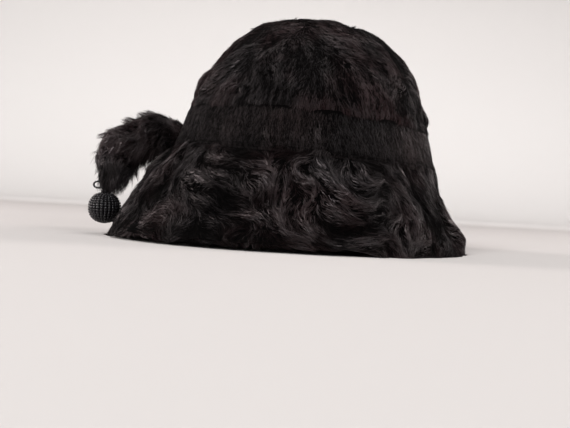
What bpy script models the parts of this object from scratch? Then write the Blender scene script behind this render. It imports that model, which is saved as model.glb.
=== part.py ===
"""Cloche hat of curly lamb fur, with a smooth fur band, a stuffed fur tail and a beaded ball.

Metres, +Z up. The hat stands on the edge of its brim, its front faces -Y and the tail is on -X.
The origin is the middle of the whole object's box, on the floor.

Shapes are worked out around the upright axis of the crown, in azimuth and height: azimuth 0 is
+X, 90 degrees is the back, 180 degrees the tail's side and 270 degrees the front. Each piece is
a list of rings of points, which one function turns into a closed mesh.
"""

import math
from collections import namedtuple

import bpy
import numpy as np

MM = 0.001

# Crown: a domed oval, worked out as a superellipse from its foot to its top. Its fur is pressed
# in under the band.
CROWN_TOP = 158.5 * MM
CROWN_FOOT = 52 * MM
CROWN_HALF_RIGHT = 89 * MM
CROWN_HALF_LEFT = 87.3 * MM
CROWN_HALF_LENGTH = 99.5 * MM
CROWN_HEIGHT_POWER = 2.06
CROWN_WIDTH_POWER = 2.44
CROWN_WALL = 5 * MM
BAND_PINCH = 2.8 * MM
PINCH_START_ABOVE_BAND = 10 * MM
PINCH_FULL_ABOVE_BAND = 3 * MM
SHOULDER_SHIFT = 3 * MM
SHOULDER_HEIGHT = 132 * MM
SHOULDER_REACH = 24 * MM

# Band: a strip of fur round the crown, higher on the tail's side and in front.
BAND_MIDDLE = 73.5 * MM
BAND_HEIGHT = 29 * MM
BAND_SIDE_SLOPE = 0.06
BAND_FRONT_SLOPE = 0.02
BAND_TOP_THICKNESS = 2.2 * MM
BAND_LOW_THICKNESS = 5.2 * MM
BAND_TAB_DROP = 5 * MM
BAND_TAB_REACH = math.radians(13)

# Brim: sewn to the crown under the band, flaring to an oval rim that is wider on the tail's side
# and lifts a little in front of it.
JOIN_BELOW_BAND_MIDDLE = 6 * MM
NECK_FLARE = 3 * MM
BRIM_PILE = 4.5 * MM
PILE_RISE_SHARE = 0.07
RIM_HALF_RIGHT = 115 * MM
RIM_HALF_LEFT = 134.5 * MM
RIM_HALF_FRONT = 135 * MM
RIM_HALF_BACK = 131 * MM
RIM_LIFT = 5 * MM
LIFT_MIDDLE = math.radians(242)
LIFT_HALF_SPAN = math.radians(56)
LIFT_EASE = math.radians(24)
RIM_WALL = 4.5 * MM
BRIM_INSET = 2.5 * MM
FLARE_POWER = 0.96
FLARE_POWER_SIDE_CHANGE = 0.24
RELIEF_SINK = 0.8 * MM

OVAL_POWER = 2.1
GAP = 0.3 * MM
BAND_GAP = 0.45 * MM
TAIL_GAP = 0.5 * MM

# Tail: a stuffed roll of fur that leaves the band, arches outwards and hangs down. Its locks
# wind round it.
TAIL_AZIMUTH = math.radians(184)
TAIL_DEPTH_SHARE = 0.9
TAIL_RINGS = 19
TAIL_SIDES = 20
TAIL_LOCKS = 5
TAIL_LOCK_RISE = 1.0 * MM
TAIL_LOCK_TURN = math.radians(24)

# Beaded ball and the short beaded stalk that it hangs from.
BALL_RADIUS = 11.2 * MM
BALL_MIDDLE_HEIGHT = 18.5 * MM
BALL_OUT = 139.8 * MM
BALL_BEAD_ROWS = 18
BALL_RINGS = 9
BEAD_RELIEF = 0.6 * MM
STALK_SIDES = 12
STALK_BEAD_RADIUS = 2.9 * MM
STALK_WAIST_RADIUS = 2.3 * MM

# How finely each shell is faceted.
BRIM_COLUMNS = 116
CROWN_COLUMNS = 84
BAND_COLUMNS = 80
FRONT_CROWDING = 0.34

FRONT = math.radians(270)

# The main curls, one row each. azimuth_deg and height place the middle of the curl, heading_deg
# is its way along the surface (0 level towards +X, 90 up), bend_deg is how far it turns over its
# length. A rise below 0 is a dent.
Curl = namedtuple("Curl", "azimuth_deg height heading_deg length bend_deg width rise")
BRIM_CURLS = (
    Curl(222, 46 * MM, 20, 30 * MM, 40, 11 * MM, 2.2 * MM),
    Curl(232, 30 * MM, -15, 30 * MM, -35, 12 * MM, 2.2 * MM),
    Curl(240, 49 * MM, -5, 34 * MM, 25, 11 * MM, 2.4 * MM),
    Curl(247, 19 * MM, -30, 26 * MM, 45, 11 * MM, 2.0 * MM),
    Curl(255, 39 * MM, -55, 28 * MM, -60, 11 * MM, 2.6 * MM),
    Curl(263, 21 * MM, 70, 24 * MM, 30, 10 * MM, 2.0 * MM),
    Curl(270, 46 * MM, -80, 28 * MM, 60, 10 * MM, 2.4 * MM),
    Curl(276, 25 * MM, -65, 34 * MM, -50, 10 * MM, 2.8 * MM),
    Curl(284, 46 * MM, -50, 42 * MM, 30, 11 * MM, 3.0 * MM),
    Curl(288, 23 * MM, -35, 26 * MM, -55, 10 * MM, 2.2 * MM),
    Curl(296, 49 * MM, -60, 26 * MM, 70, 10 * MM, 2.4 * MM),
    Curl(298, 10 * MM, 12, 38 * MM, 30, 10 * MM, 2.2 * MM),
    Curl(305, 34 * MM, 15, 26 * MM, -60, 10 * MM, 2.2 * MM),
    Curl(316, 44 * MM, -65, 26 * MM, 20, 11 * MM, 2.0 * MM),
    Curl(325, 16 * MM, 75, 26 * MM, 50, 11 * MM, 2.4 * MM),
    Curl(340, 30 * MM, 80, 30 * MM, 30, 13 * MM, 2.2 * MM),
    Curl(352, 12 * MM, 60, 24 * MM, -40, 12 * MM, 2.4 * MM),
)
CROWN_CURLS = (
    Curl(216, 108 * MM, 60, 28 * MM, -20, 11 * MM, 1.5 * MM),
    Curl(228, 119 * MM, 55, 34 * MM, -20, 11 * MM, 1.6 * MM),
    Curl(238, 98 * MM, 80, 18 * MM, 20, 10 * MM, 1.6 * MM),
    Curl(262, 99 * MM, 85, 18 * MM, 20, 10 * MM, 1.7 * MM),
    Curl(272, 97 * MM, 80, 18 * MM, -25, 10 * MM, 1.7 * MM),
    Curl(294, 135 * MM, -50, 26 * MM, 35, 11 * MM, 1.9 * MM),
    Curl(313, 124 * MM, -70, 24 * MM, 20, 11 * MM, 1.6 * MM),
    Curl(310, 100 * MM, 80, 24 * MM, 30, 11 * MM, 1.8 * MM),
    Curl(350, 147 * MM, -30, 24 * MM, 0, 13 * MM, -2.4 * MM),
    Curl(352, 135 * MM, -60, 20 * MM, 0, 11 * MM, 1.6 * MM),
)

# The tail's sections, one row each: where the middle of the section lies outwards from the
# crown's axis and above the floor, and its half thickness.
TailSection = namedtuple("TailSection", "out height half")
TAIL_SECTIONS = (
    TailSection(94.5 * MM, 69.5 * MM, 9.5 * MM),
    TailSection(104 * MM, 71.0 * MM, 12.0 * MM),
    TailSection(115 * MM, 70.0 * MM, 14.0 * MM),
    TailSection(125 * MM, 63.5 * MM, 13.6 * MM),
    TailSection(132 * MM, 54.0 * MM, 13.2 * MM),
    TailSection(136.3 * MM, 45.5 * MM, 12.2 * MM),
    TailSection(139.2 * MM, 38.5 * MM, 8.6 * MM),
    TailSection(139.8 * MM, 35.4 * MM, 3.4 * MM),
)


def smooth_step(share):
    """0 below 0, 1 above 1, and an even S curve between."""
    share = np.clip(share, 0.0, 1.0)
    return share * share * (3.0 - 2.0 * share)


def oval_radius(azimuth, right, left, front, back, power=OVAL_POWER):
    """Radius of an oval whose four half widths differ."""
    across = np.where(np.cos(azimuth) > 0, right, left)
    along = np.where(np.sin(azimuth) > 0, back, front)
    return (np.abs(np.cos(azimuth) / across) ** power + np.abs(np.sin(azimuth) / along) ** power) ** (-1 / power)


def crown_radius(azimuth, height, inset=0.0):
    """Radius of the crown's outer surface, or of one inset from it, at a height above the floor."""
    foot = oval_radius(
        azimuth,
        CROWN_HALF_RIGHT - inset,
        CROWN_HALF_LEFT - inset,
        CROWN_HALF_LENGTH - inset,
        CROWN_HALF_LENGTH - inset,
    )
    climb = np.clip((height - CROWN_FOOT) / (CROWN_TOP - inset - CROWN_FOOT), 0.0, 1.0)
    reach = PINCH_START_ABOVE_BAND - PINCH_FULL_ABOVE_BAND
    pinch = BAND_PINCH * smooth_step((band_top(azimuth) + PINCH_START_ABOVE_BAND - height) / reach)
    return foot * (1.0 - climb**CROWN_HEIGHT_POWER) ** (1.0 / CROWN_WIDTH_POWER) - pinch


def band_plane(azimuth):
    """Height of the band's middle line, which slopes with the place on the head."""
    foot = oval_radius(azimuth, CROWN_HALF_RIGHT, CROWN_HALF_LEFT, CROWN_HALF_LENGTH, CROWN_HALF_LENGTH)
    return BAND_MIDDLE - BAND_SIDE_SLOPE * foot * np.cos(azimuth) - BAND_FRONT_SLOPE * foot * np.sin(azimuth)


def tail_nearness(azimuth, reach):
    """1 at the tail's azimuth, falling to 0 at the reach on either side."""
    away = np.abs((azimuth - TAIL_AZIMUTH + math.pi) % (2 * math.pi) - math.pi)
    return smooth_step(1.0 - away / reach)


def band_top(azimuth):
    return band_plane(azimuth) + BAND_HEIGHT / 2


def band_low(azimuth):
    """Height of the band's lower edge, which widens into the tail."""
    return band_plane(azimuth) - BAND_HEIGHT / 2 - BAND_TAB_DROP * tail_nearness(azimuth, BAND_TAB_REACH)


def join_height(azimuth):
    """Height of the seam between crown and brim, under the band."""
    return band_plane(azimuth) - JOIN_BELOW_BAND_MIDDLE


def rim_radius(azimuth):
    return oval_radius(azimuth, RIM_HALF_RIGHT, RIM_HALF_LEFT, RIM_HALF_FRONT, RIM_HALF_BACK)


def rim_lift(azimuth):
    """Height of the brim's edge, which stands on the floor except for one lifted stretch."""
    inside = LIFT_HALF_SPAN - np.abs(np.mod(azimuth, 2 * math.pi) - LIFT_MIDDLE)
    return RIM_LIFT * smooth_step(inside / LIFT_EASE)


def neck_radius(azimuth, height):
    """Radius of what the band lies on: the crown, and below the seam the brim's flaring neck."""
    seam = join_height(azimuth)
    below = np.clip((seam - height) / (seam - band_low(azimuth)), 0.0, 1.0)
    return crown_radius(azimuth, height) + NECK_FLARE * below


def flare(azimuth, down):
    """How far out the brim has flared at a share of the way from the band to the rim."""
    return down ** (FLARE_POWER + FLARE_POWER_SIDE_CHANGE * np.cos(azimuth))


def brim_radius(azimuth, down):
    """Radius of the brim's outer surface below the band."""
    start = neck_radius(azimuth, band_low(azimuth))
    full = start + BRIM_PILE
    pile_missing = BRIM_PILE * (1.0 - smooth_step(down / PILE_RISE_SHARE))
    return full + (rim_radius(azimuth) - full) * flare(azimuth, down) - pile_missing


def brim_inner_radius(azimuth, down):
    start = crown_radius(azimuth, band_low(azimuth)) - BRIM_INSET
    return start + (rim_radius(azimuth) - RIM_WALL - start) * flare(azimuth, down)


def band_radius(azimuth, height):
    """Radius of the band's outer surface."""
    down = (band_top(azimuth) - height) / (band_top(azimuth) - band_low(azimuth))
    thickness = BAND_TOP_THICKNESS + (BAND_LOW_THICKNESS - BAND_TOP_THICKNESS) * smooth_step(down)
    return neck_radius(azimuth, height) + BAND_GAP + thickness


def polar(azimuth, radius, height):
    """Points at a radius and height round the crown's axis, leaning with the crown's shoulder."""
    azimuth, radius, height = np.broadcast_arrays(azimuth, radius, height)
    shoulder = SHOULDER_SHIFT * smooth_step(1.0 - np.abs(height - SHOULDER_HEIGHT) / SHOULDER_REACH)
    return np.stack([radius * np.cos(azimuth) + shoulder, radius * np.sin(azimuth), height], axis=-1)


def curl_height(azimuth, points, curl):
    """Height of one curl above the skin: a ridge with a parabola for its spine and rounded ends."""
    turn = 2 * math.pi
    away = (azimuth - math.radians(curl.azimuth_deg) + turn / 2) % turn - turn / 2
    around = away * np.hypot(points[..., 0], points[..., 1])
    up = points[..., 2] - curl.height
    heading = math.radians(curl.heading_deg)
    along = around * math.cos(heading) + up * math.sin(heading)
    across = up * math.cos(heading) - around * math.sin(heading)
    bend = math.radians(curl.bend_deg) / curl.length
    off_spine = (across - 0.5 * bend * along**2) / np.sqrt(1.0 + (bend * along) ** 2)
    ends = 1.0 - np.clip(np.abs(along) / (curl.length / 2), 0.0, 1.0) ** 4
    return curl.rise * ends * np.exp(-((off_spine / (curl.width / 2)) ** 2))


def wave_height(points, spacing, rise):
    """Moire waves of flat curly fur: slanting ripples whose phase wanders, in patches."""
    x, y, z = points[..., 0], points[..., 1], points[..., 2]
    slant = z + 0.35 * x + 0.3 * y
    wander = 0.34 * np.sin((x - y) / (17 * MM)) + 0.3 * np.sin((x + 0.7 * y) / (10 * MM) + 1.3)
    ripple = np.sin(2 * math.pi * (slant / spacing + wander))
    patch = 0.6 + 0.4 * np.sin(x / (21 * MM) + 1.0) * np.sin(y / (19 * MM) + z / (16 * MM))
    return rise * ripple * patch


def surface_normals(points):
    """Outward unit normals of a grid of points that runs down its rows and wraps round its columns."""
    down = np.gradient(points, axis=0)
    around = np.roll(points, -1, axis=1) - np.roll(points, 1, axis=1)
    normal = np.cross(down, around)
    return normal / np.linalg.norm(normal, axis=-1, keepdims=True)


def azimuths(count):
    """Azimuths of the columns, closer together in front, where the curls are."""
    even = np.arange(count) * (2 * math.pi / count)
    return even - FRONT_CROWDING * np.sin(even - FRONT)


def even_rows(profile, count):
    """Shares at which a profile, a function of shares from 0 to 1, splits into equal lengths."""
    shares = np.linspace(0.0, 1.0, 400)
    steps = np.linalg.norm(np.diff(profile(shares), axis=0), axis=1)
    length = np.concatenate([[0.0], np.cumsum(steps)])
    return np.interp(np.linspace(0.0, length[-1], count), length, shares)


def object_from_rings(name, rings, material, start=None, end=None):
    """A closed mesh from rings of points. It ends in the points start and end, or else closes on
    itself like a tube bent into a loop."""
    rings = [np.asarray(ring) for ring in rings]
    sides = len(rings[0])
    points = [tuple(point) for ring in rings for point in ring]
    pairs = list(zip(range(len(rings)), range(1, len(rings))))
    if start is None:
        pairs.append((len(rings) - 1, 0))
    faces = []
    for upper, lower in pairs:
        for side in range(sides):
            beside = (side + 1) % sides
            faces.append(
                (upper * sides + side, lower * sides + side, lower * sides + beside, upper * sides + beside)
            )
    if start is not None:
        points += [tuple(start), tuple(end)]
        first, last = len(points) - 2, len(points) - 1
        foot = (len(rings) - 1) * sides
        for side in range(sides):
            beside = (side + 1) % sides
            faces.append((first, side, beside))
            faces.append((last, foot + beside, foot + side))
    mesh = bpy.data.meshes.new(name)
    mesh.from_pydata(points, [], faces)
    mesh.materials.append(material)
    mesh.shade_smooth()
    mesh.set_sharp_from_angle(angle=math.radians(50))
    made = bpy.data.objects.new(name, mesh)
    bpy.context.scene.collection.objects.link(made)
    return made


def dome_rings(columns, count, foot, inset):
    """Rings from just under the crown's top, or under its lining's, down to the heights foot."""
    top = CROWN_TOP - inset
    front_foot = np.interp(FRONT, columns, foot)

    def outline(down):
        height = top - (top - front_foot) * down
        return np.stack([crown_radius(FRONT, height, inset), height], axis=-1)

    down = even_rows(outline, count)[1:]
    height = top - (top - foot)[None, :] * down[:, None]
    return polar(columns[None, :], crown_radius(columns[None, :], height, inset), height)


def build_crown(fur):
    """The dome, fur side out, from its top down to the seam under the band."""
    columns = azimuths(CROWN_COLUMNS)
    top, foot = band_top(columns), join_height(columns) + GAP
    outer = dome_rings(columns, 14, top + PINCH_START_ABOVE_BAND, 0.0)
    clear_of_band = smooth_step((outer[..., 2] - top - PINCH_FULL_ABOVE_BAND) / (8 * MM))
    relief = sum(curl_height(columns, outer, curl) for curl in CROWN_CURLS)
    relief += wave_height(outer, 19 * MM, 1.2 * MM)
    outer = outer + surface_normals(outer) * (relief * clear_of_band)[..., None]
    pressed = [
        polar(columns, crown_radius(columns, level), level)
        for level in (top + PINCH_FULL_ABOVE_BAND, (top + foot) / 2, foot)
    ]
    inner = dome_rings(columns, 6, foot, CROWN_WALL)[::-1]
    return object_from_rings(
        "crown",
        [*outer, *pressed, *inner],
        fur,
        start=(0.0, 0.0, CROWN_TOP),
        end=(0.0, 0.0, CROWN_TOP - CROWN_WALL),
    )


def build_brim(fur):
    """The flaring brim, from the seam under the band to the flat edge that it stands on."""
    columns = azimuths(BRIM_COLUMNS)
    seam, low = join_height(columns), band_low(columns)
    neck = [polar(columns, neck_radius(columns, height), height) for height in (seam, (seam + low) / 2)]
    down = np.concatenate([[0.0, 0.35 * PILE_RISE_SHARE, PILE_RISE_SHARE], np.linspace(0.14, 1.0, 12)])
    lift = rim_lift(columns)
    height = lift + (low - GAP - lift)[None, :] * (1.0 - down[:, None])
    outer = polar(columns[None, :], brim_radius(columns[None, :], down[:, None]), height)
    relief = sum(curl_height(columns, outer, curl) for curl in BRIM_CURLS)
    calm_in_front = 1.0 - 0.6 * smooth_step(1.2 * -np.sin(columns))
    relief += wave_height(outer, 16 * MM, 1.5 * MM) * calm_in_front[None, :] - RELIEF_SINK
    relief *= smooth_step((down[:, None] - 0.5 * PILE_RISE_SHARE) / 0.12)
    away_from_tail = 1.0 - tail_nearness(columns, math.radians(20))[None, :] * (down[:, None] < 0.4)
    outer = outer + surface_normals(outer) * (relief * away_from_tail)[..., None]
    outer[-1, :, 2] = lift
    inner_down = np.array([1.0, 0.6, 0.25, 0.0])
    inner_height = lift + (low - lift)[None, :] * (1.0 - inner_down[:, None])
    inner = polar(columns[None, :], brim_inner_radius(columns[None, :], inner_down[:, None]), inner_height)
    lip = polar(columns, crown_radius(columns, seam, CROWN_WALL), seam)
    return object_from_rings("brim", [*neck, *outer, *inner, lip], fur)


def build_band(fur):
    """The smooth strip that covers the seam, lying on the crown and on the brim's neck."""
    columns = azimuths(BAND_COLUMNS)
    top, seam, low = band_top(columns), join_height(columns), band_low(columns)
    shares = np.array([0.0, 0.12, 0.35, 0.62, 0.88, 1.0])
    height = top[None, :] + (low - top)[None, :] * shares[:, None]
    radius = band_radius(columns[None, :], height)
    corner = 0.8 * MM * np.array([1.0, 0.0, 0.0, 0.0, 0.0, 1.0])
    outer = polar(columns[None, :], radius - corner[:, None], height)
    relief = wave_height(outer, 40 * MM, 0.5 * MM)
    relief *= (1.0 - tail_nearness(columns, math.radians(22)))[None, :] * (corner == 0.0)[:, None]
    outer = outer + surface_normals(outer) * relief[..., None]
    inner = [
        polar(columns, neck_radius(columns, level) + BAND_GAP, level)
        for level in (low, (low + seam) / 2, seam, (seam + top) / 2, top)
    ]
    return object_from_rings("band", [*outer, *inner], fur)


def on_band(across, height):
    """The point of the band's outer surface beside the tail, a little clear of it."""
    azimuth = np.full_like(across, TAIL_AZIMUTH)
    for _ in range(6):
        azimuth = math.pi - np.arcsin(across / band_radius(azimuth, height))
    return polar(azimuth, band_radius(azimuth, height) + TAIL_GAP, height)


def smooth_table(rows, count):
    """The rows of a table as columns of numbers, rounded into count steps by a Catmull-Rom curve."""
    table = np.array([tuple(row) for row in rows])
    padded = np.vstack([2 * table[0] - table[1], table, 2 * table[-1] - table[-2]])
    place = np.linspace(0.0, len(table) - 1.0, count)
    index = np.minimum(place.astype(int), len(table) - 2)
    part = (place - index)[:, None]
    before, here, there, after = (padded[index + step] for step in range(4))
    bend = 2 * before - 5 * here + 4 * there - after
    twist = 3 * (here - there) + after - before
    return here + 0.5 * part * (there - before + part * (bend + part * twist))


def build_tail(fur):
    """The stuffed roll, from the band's side out over the brim and down to the beaded stalk."""
    path = smooth_table(TAIL_SECTIONS, TAIL_RINGS)
    ahead = np.gradient(path[:, :2], axis=0)
    ahead /= np.linalg.norm(ahead, axis=1, keepdims=True)
    turn = np.arange(TAIL_SIDES) * (2 * math.pi / TAIL_SIDES)
    depth = math.sin(TAIL_AZIMUTH) * path[0, 0]
    locks = np.cos(TAIL_LOCKS * turn[None, :] + TAIL_LOCK_TURN * np.arange(TAIL_RINGS)[:, None])
    half = path[:, 2:3] + TAIL_LOCK_RISE * locks * smooth_step((path[:, 2:3] - 9 * MM) / (3 * MM))
    out = -(path[:, :1] + half * np.cos(turn) * -ahead[:, 1:])
    height = path[:, 1:2] + half * np.cos(turn) * ahead[:, :1]
    across = depth - half * TAIL_DEPTH_SHARE * np.sin(turn)
    rings = np.stack([out, across, height], axis=-1)
    rings[0] = on_band(rings[0, :, 1], rings[0, :, 2])
    heart = np.array([depth, path[0, 1]])
    seat = on_band(
        (rings[0, :, 1] + heart[0]) / 2,
        (rings[0, :, 2] + heart[1]) / 2,
    )
    root = on_band(np.array([heart[0]]), np.array([heart[1]]))[0]
    tip = (-path[-1, 0], depth, path[-1, 1] - 0.6 * MM)
    return object_from_rings("tail", [seat, *rings], fur, start=root, end=tip)


def hang_point():
    """Where the ball's axis stands, in plan."""
    return -BALL_OUT, math.sin(TAIL_AZIMUTH) * TAIL_SECTIONS[0].out


def build_ball(beads):
    """The ball of bead rows that run from pole to pole: every other column is the gap between two rows."""
    x, y = hang_point()
    sides = 2 * BALL_BEAD_ROWS
    turn = np.arange(sides) * (2 * math.pi / sides)
    groove = np.where(np.arange(sides) % 2 == 0, 0.0, BEAD_RELIEF)
    rings = []
    for polar_angle in np.linspace(0.0, math.pi, BALL_RINGS + 2)[1:-1]:
        radius = (BALL_RADIUS - groove) * math.sin(polar_angle)
        level = np.full(sides, BALL_MIDDLE_HEIGHT + BALL_RADIUS * math.cos(polar_angle))
        rings.append(np.stack([x + radius * np.cos(turn), y + radius * np.sin(turn), level], axis=-1))
    return object_from_rings(
        "beaded_ball",
        rings,
        beads,
        start=(x, y, BALL_MIDDLE_HEIGHT + BALL_RADIUS),
        end=(x, y, BALL_MIDDLE_HEIGHT - BALL_RADIUS),
    )


def build_stalk(beads):
    """The short stack of small beads, sewn through, between the tail's tip and the ball."""
    x, y = hang_point()
    foot = BALL_MIDDLE_HEIGHT + BALL_RADIUS + GAP
    head = TAIL_SECTIONS[-1].height - 0.6 * MM - GAP
    turn = np.arange(STALK_SIDES) * (2 * math.pi / STALK_SIDES)
    steps = np.linspace(head, foot, 5)
    radii = (STALK_WAIST_RADIUS, STALK_BEAD_RADIUS, STALK_WAIST_RADIUS, STALK_BEAD_RADIUS, STALK_WAIST_RADIUS)
    rings = [
        np.stack([x + radius * np.cos(turn), y + radius * np.sin(turn), np.full(STALK_SIDES, level)], axis=-1)
        for radius, level in zip(radii, steps)
    ]
    return object_from_rings("bead_stalk", rings, beads, start=(x, y, head), end=(x, y, foot))


def material(name, colour, roughness):
    made = bpy.data.materials.new(name)
    made.use_nodes = True
    shader = made.node_tree.nodes["Principled BSDF"]
    shader.inputs["Base Color"].default_value = (*colour, 1.0)
    shader.inputs["Roughness"].default_value = roughness
    return made


def centre_on_floor(objects):
    """Moves everything so that the origin is the middle of the whole box, on the floor."""
    corners = np.array([corner.co[:] for made in objects for corner in made.data.vertices])
    low, high = corners.min(axis=0), corners.max(axis=0)
    middle = (low + high) / 2
    for made in objects:
        made.location = (-middle[0], -middle[1], -low[2])


def main():
    for old in list(bpy.data.objects):
        bpy.data.objects.remove(old, do_unlink=True)
    curly = material("curly_fur", (0.012, 0.010, 0.010), 0.6)
    flat = material("flat_fur", (0.014, 0.011, 0.010), 0.62)
    smooth = material("smooth_fur", (0.010, 0.009, 0.009), 0.6)
    beads = material("jet_beads", (0.006, 0.006, 0.007), 0.15)
    centre_on_floor(
        [
            build_crown(flat),
            build_band(smooth),
            build_brim(curly),
            build_tail(curly),
            build_stalk(beads),
            build_ball(beads),
        ]
    )


main()
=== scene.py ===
import math

import bpy
import numpy as np
from mathutils import Euler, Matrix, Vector


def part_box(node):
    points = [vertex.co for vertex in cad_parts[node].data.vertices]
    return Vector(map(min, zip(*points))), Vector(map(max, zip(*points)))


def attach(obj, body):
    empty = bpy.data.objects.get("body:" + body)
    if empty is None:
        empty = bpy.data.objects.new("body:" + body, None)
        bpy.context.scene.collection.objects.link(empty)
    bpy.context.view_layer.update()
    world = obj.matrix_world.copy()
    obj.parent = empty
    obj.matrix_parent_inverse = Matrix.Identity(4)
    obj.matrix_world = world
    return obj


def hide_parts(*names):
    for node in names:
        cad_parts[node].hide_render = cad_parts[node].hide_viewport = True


# Cloche hat of curly black lamb fur. Each coat is grown strand by strand along waves and curls,
# over a shell that has the same relief. Lengths are metres, the front faces -Y, the tail is on -X.

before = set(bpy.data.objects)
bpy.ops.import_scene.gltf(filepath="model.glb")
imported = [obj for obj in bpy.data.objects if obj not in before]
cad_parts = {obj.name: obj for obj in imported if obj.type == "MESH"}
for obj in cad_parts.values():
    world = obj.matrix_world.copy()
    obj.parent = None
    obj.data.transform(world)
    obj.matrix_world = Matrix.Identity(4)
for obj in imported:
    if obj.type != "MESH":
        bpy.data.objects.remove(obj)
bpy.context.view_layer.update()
mm = 0.001
fullTurn = 2 * math.pi

hat = {  # the main sizes, as the solids have them, apart from pileRise, which is 0.07 there
    "crownTop": 158.5 * mm, "crownFoot": 52 * mm, "crownRight": 89 * mm, "crownLeft": 87.3 * mm,
    "crownLength": 99.5 * mm, "crownWall": 5 * mm, "heightPower": 2.06, "widthPower": 2.44, "ovalPower": 2.1,
    "shoulderShift": 3 * mm, "shoulderHeight": 132 * mm, "shoulderReach": 24 * mm,
    "pinch": 2.8 * mm, "pinchStart": 10 * mm, "pinchFull": 3 * mm,
    "bandMiddle": 73.5 * mm, "bandHeight": 29 * mm, "sideSlope": 0.06, "frontSlope": 0.02,
    "bandTopThickness": 2.2 * mm, "bandLowThickness": 5.2 * mm, "bandGap": 0.45 * mm,
    "tabDrop": 5 * mm, "tabReach": math.radians(13), "tailAzimuth": math.radians(184), "tailStart": 94.5 * mm,
    "seamDrop": 6 * mm, "seamGap": 0.3 * mm, "neckFlare": 3 * mm, "brimPile": 4.5 * mm, "pileRise": 0.02,
    "rimRight": 115 * mm, "rimLeft": 134.5 * mm, "rimFront": 135 * mm, "rimBack": 131 * mm,
    "rimWall": 4.5 * mm, "brimInset": 2.5 * mm, "rimLift": 5 * mm, "liftMiddle": math.radians(242),
    "liftSpan": math.radians(56), "liftEase": math.radians(24), "flarePower": 0.96, "flareChange": 0.24,
    "ballRadius": 11.2 * mm, "ballHeight": 18.5 * mm, "ballOut": 139.8 * mm,
}

# The solids' frame has its origin under the middle of the whole box, and the shapes below have it on
# the crown's axis: hatShift leads from one to the other
ballLow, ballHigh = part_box("beaded_ball")
ballSeat = np.array([-hat["ballOut"], math.sin(hat["tailAzimuth"]) * hat["tailStart"], hat["ballHeight"]])
hatShift = (np.array(ballLow) + np.array(ballHigh)) / 2 - ballSeat
floorHeight = -hatShift[2]


# Shapes of the hat, as functions of azimuth (0 is +X, 270 degrees the front) and a share down


def smoothStep(share):
    # 0 below 0, 1 above 1, an even S curve between
    share = np.clip(share, 0.0, 1.0)
    return share * share * (3.0 - 2.0 * share)


def evenTurn(count):
    # this many angles, evenly round a full turn
    return np.arange(count) * (fullTurn / count)


def turnFrom(azimuth, middle):
    # the shorter way round from the middle, from minus half a turn to half a turn
    return (azimuth - middle + math.pi) % fullTurn - math.pi


def ovalRadius(azimuth, right, left, front, back):
    # a superellipse's radius, with a half width of its own on each side
    power = hat["ovalPower"]
    across = np.abs(np.cos(azimuth) / np.where(np.cos(azimuth) > 0, right, left))
    along = np.abs(np.sin(azimuth) / np.where(np.sin(azimuth) > 0, back, front))
    return (across ** power + along ** power) ** (-1 / power)


def footRadius(azimuth, inset=0.0):
    length = hat["crownLength"] - inset
    return ovalRadius(azimuth, hat["crownRight"] - inset, hat["crownLeft"] - inset, length, length)


def rimRadius(azimuth):
    return ovalRadius(azimuth, hat["rimRight"], hat["rimLeft"], hat["rimFront"], hat["rimBack"])


def nearTail(azimuth, reach):
    # 1 at the tail's azimuth, falling to 0 at the reach on either side
    return smoothStep(1.0 - np.abs(turnFrom(azimuth, hat["tailAzimuth"])) / reach)


def bandLine(azimuth):
    # height of the band's middle: a plane that falls towards +X and rises to the front
    foot = footRadius(azimuth)
    sideFall = hat["sideSlope"] * foot * np.cos(azimuth)
    frontFall = hat["frontSlope"] * foot * np.sin(azimuth)
    return hat["bandMiddle"] - sideFall - frontFall


def bandTop(azimuth):
    return bandLine(azimuth) + hat["bandHeight"] / 2


def bandLow(azimuth):
    return bandLine(azimuth) - hat["bandHeight"] / 2 - hat["tabDrop"] * nearTail(azimuth, hat["tabReach"])


def seamHeight(azimuth):
    return bandLine(azimuth) - hat["seamDrop"]


def crownRadius(azimuth, height, inset=0.0):
    # superellipse in height, drawn in under the band
    climb = np.clip((height - hat["crownFoot"]) / (hat["crownTop"] - inset - hat["crownFoot"]), 0.0, 1.0)
    reach = hat["pinchStart"] - hat["pinchFull"]
    pinch = hat["pinch"] * smoothStep((bandTop(azimuth) + hat["pinchStart"] - height) / reach)
    return footRadius(azimuth, inset) * (1.0 - climb ** hat["heightPower"]) ** (1 / hat["widthPower"]) - pinch


def crownHeight(azimuth, reach):
    # crownRadius the other way round, above the pinch: the height over a place in plan
    share = np.clip(reach / footRadius(azimuth), 0.0, 1.0)
    rise = (1.0 - share ** hat["widthPower"]) ** (1 / hat["heightPower"])
    return hat["crownFoot"] + (hat["crownTop"] - hat["crownFoot"]) * rise


def neckRadius(azimuth, height):
    # what the band lies on: the crown, and below the seam the brim's flaring neck
    seam = seamHeight(azimuth)
    below = np.clip((seam - height) / (seam - bandLow(azimuth)), 0.0, 1.0)
    return crownRadius(azimuth, height) + hat["neckFlare"] * below


def brimFlare(azimuth, down):
    # how far out the brim has come at a share of the way down: a power of it that changes from side to side
    return down ** (hat["flarePower"] + hat["flareChange"] * np.cos(azimuth))


def rimLift(azimuth):
    # height of the brim's edge: the floor, apart from one stretch in front of the tail
    inside = hat["liftSpan"] - np.abs(np.mod(azimuth, fullTurn) - hat["liftMiddle"])
    return hat["rimLift"] * smoothStep(inside / hat["liftEase"])


def ringPoints(azimuth, radius, height):
    # polar to points, leaning over with the crown's shoulder
    azimuth, radius, height = np.broadcast_arrays(azimuth, radius, height)
    fromShoulder = np.abs(height - hat["shoulderHeight"])
    lean = hat["shoulderShift"] * smoothStep(1.0 - fromShoulder / hat["shoulderReach"])
    return np.stack([radius * np.cos(azimuth) + lean, radius * np.sin(azimuth), height], axis=-1)


# Noise, grids and flow


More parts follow.
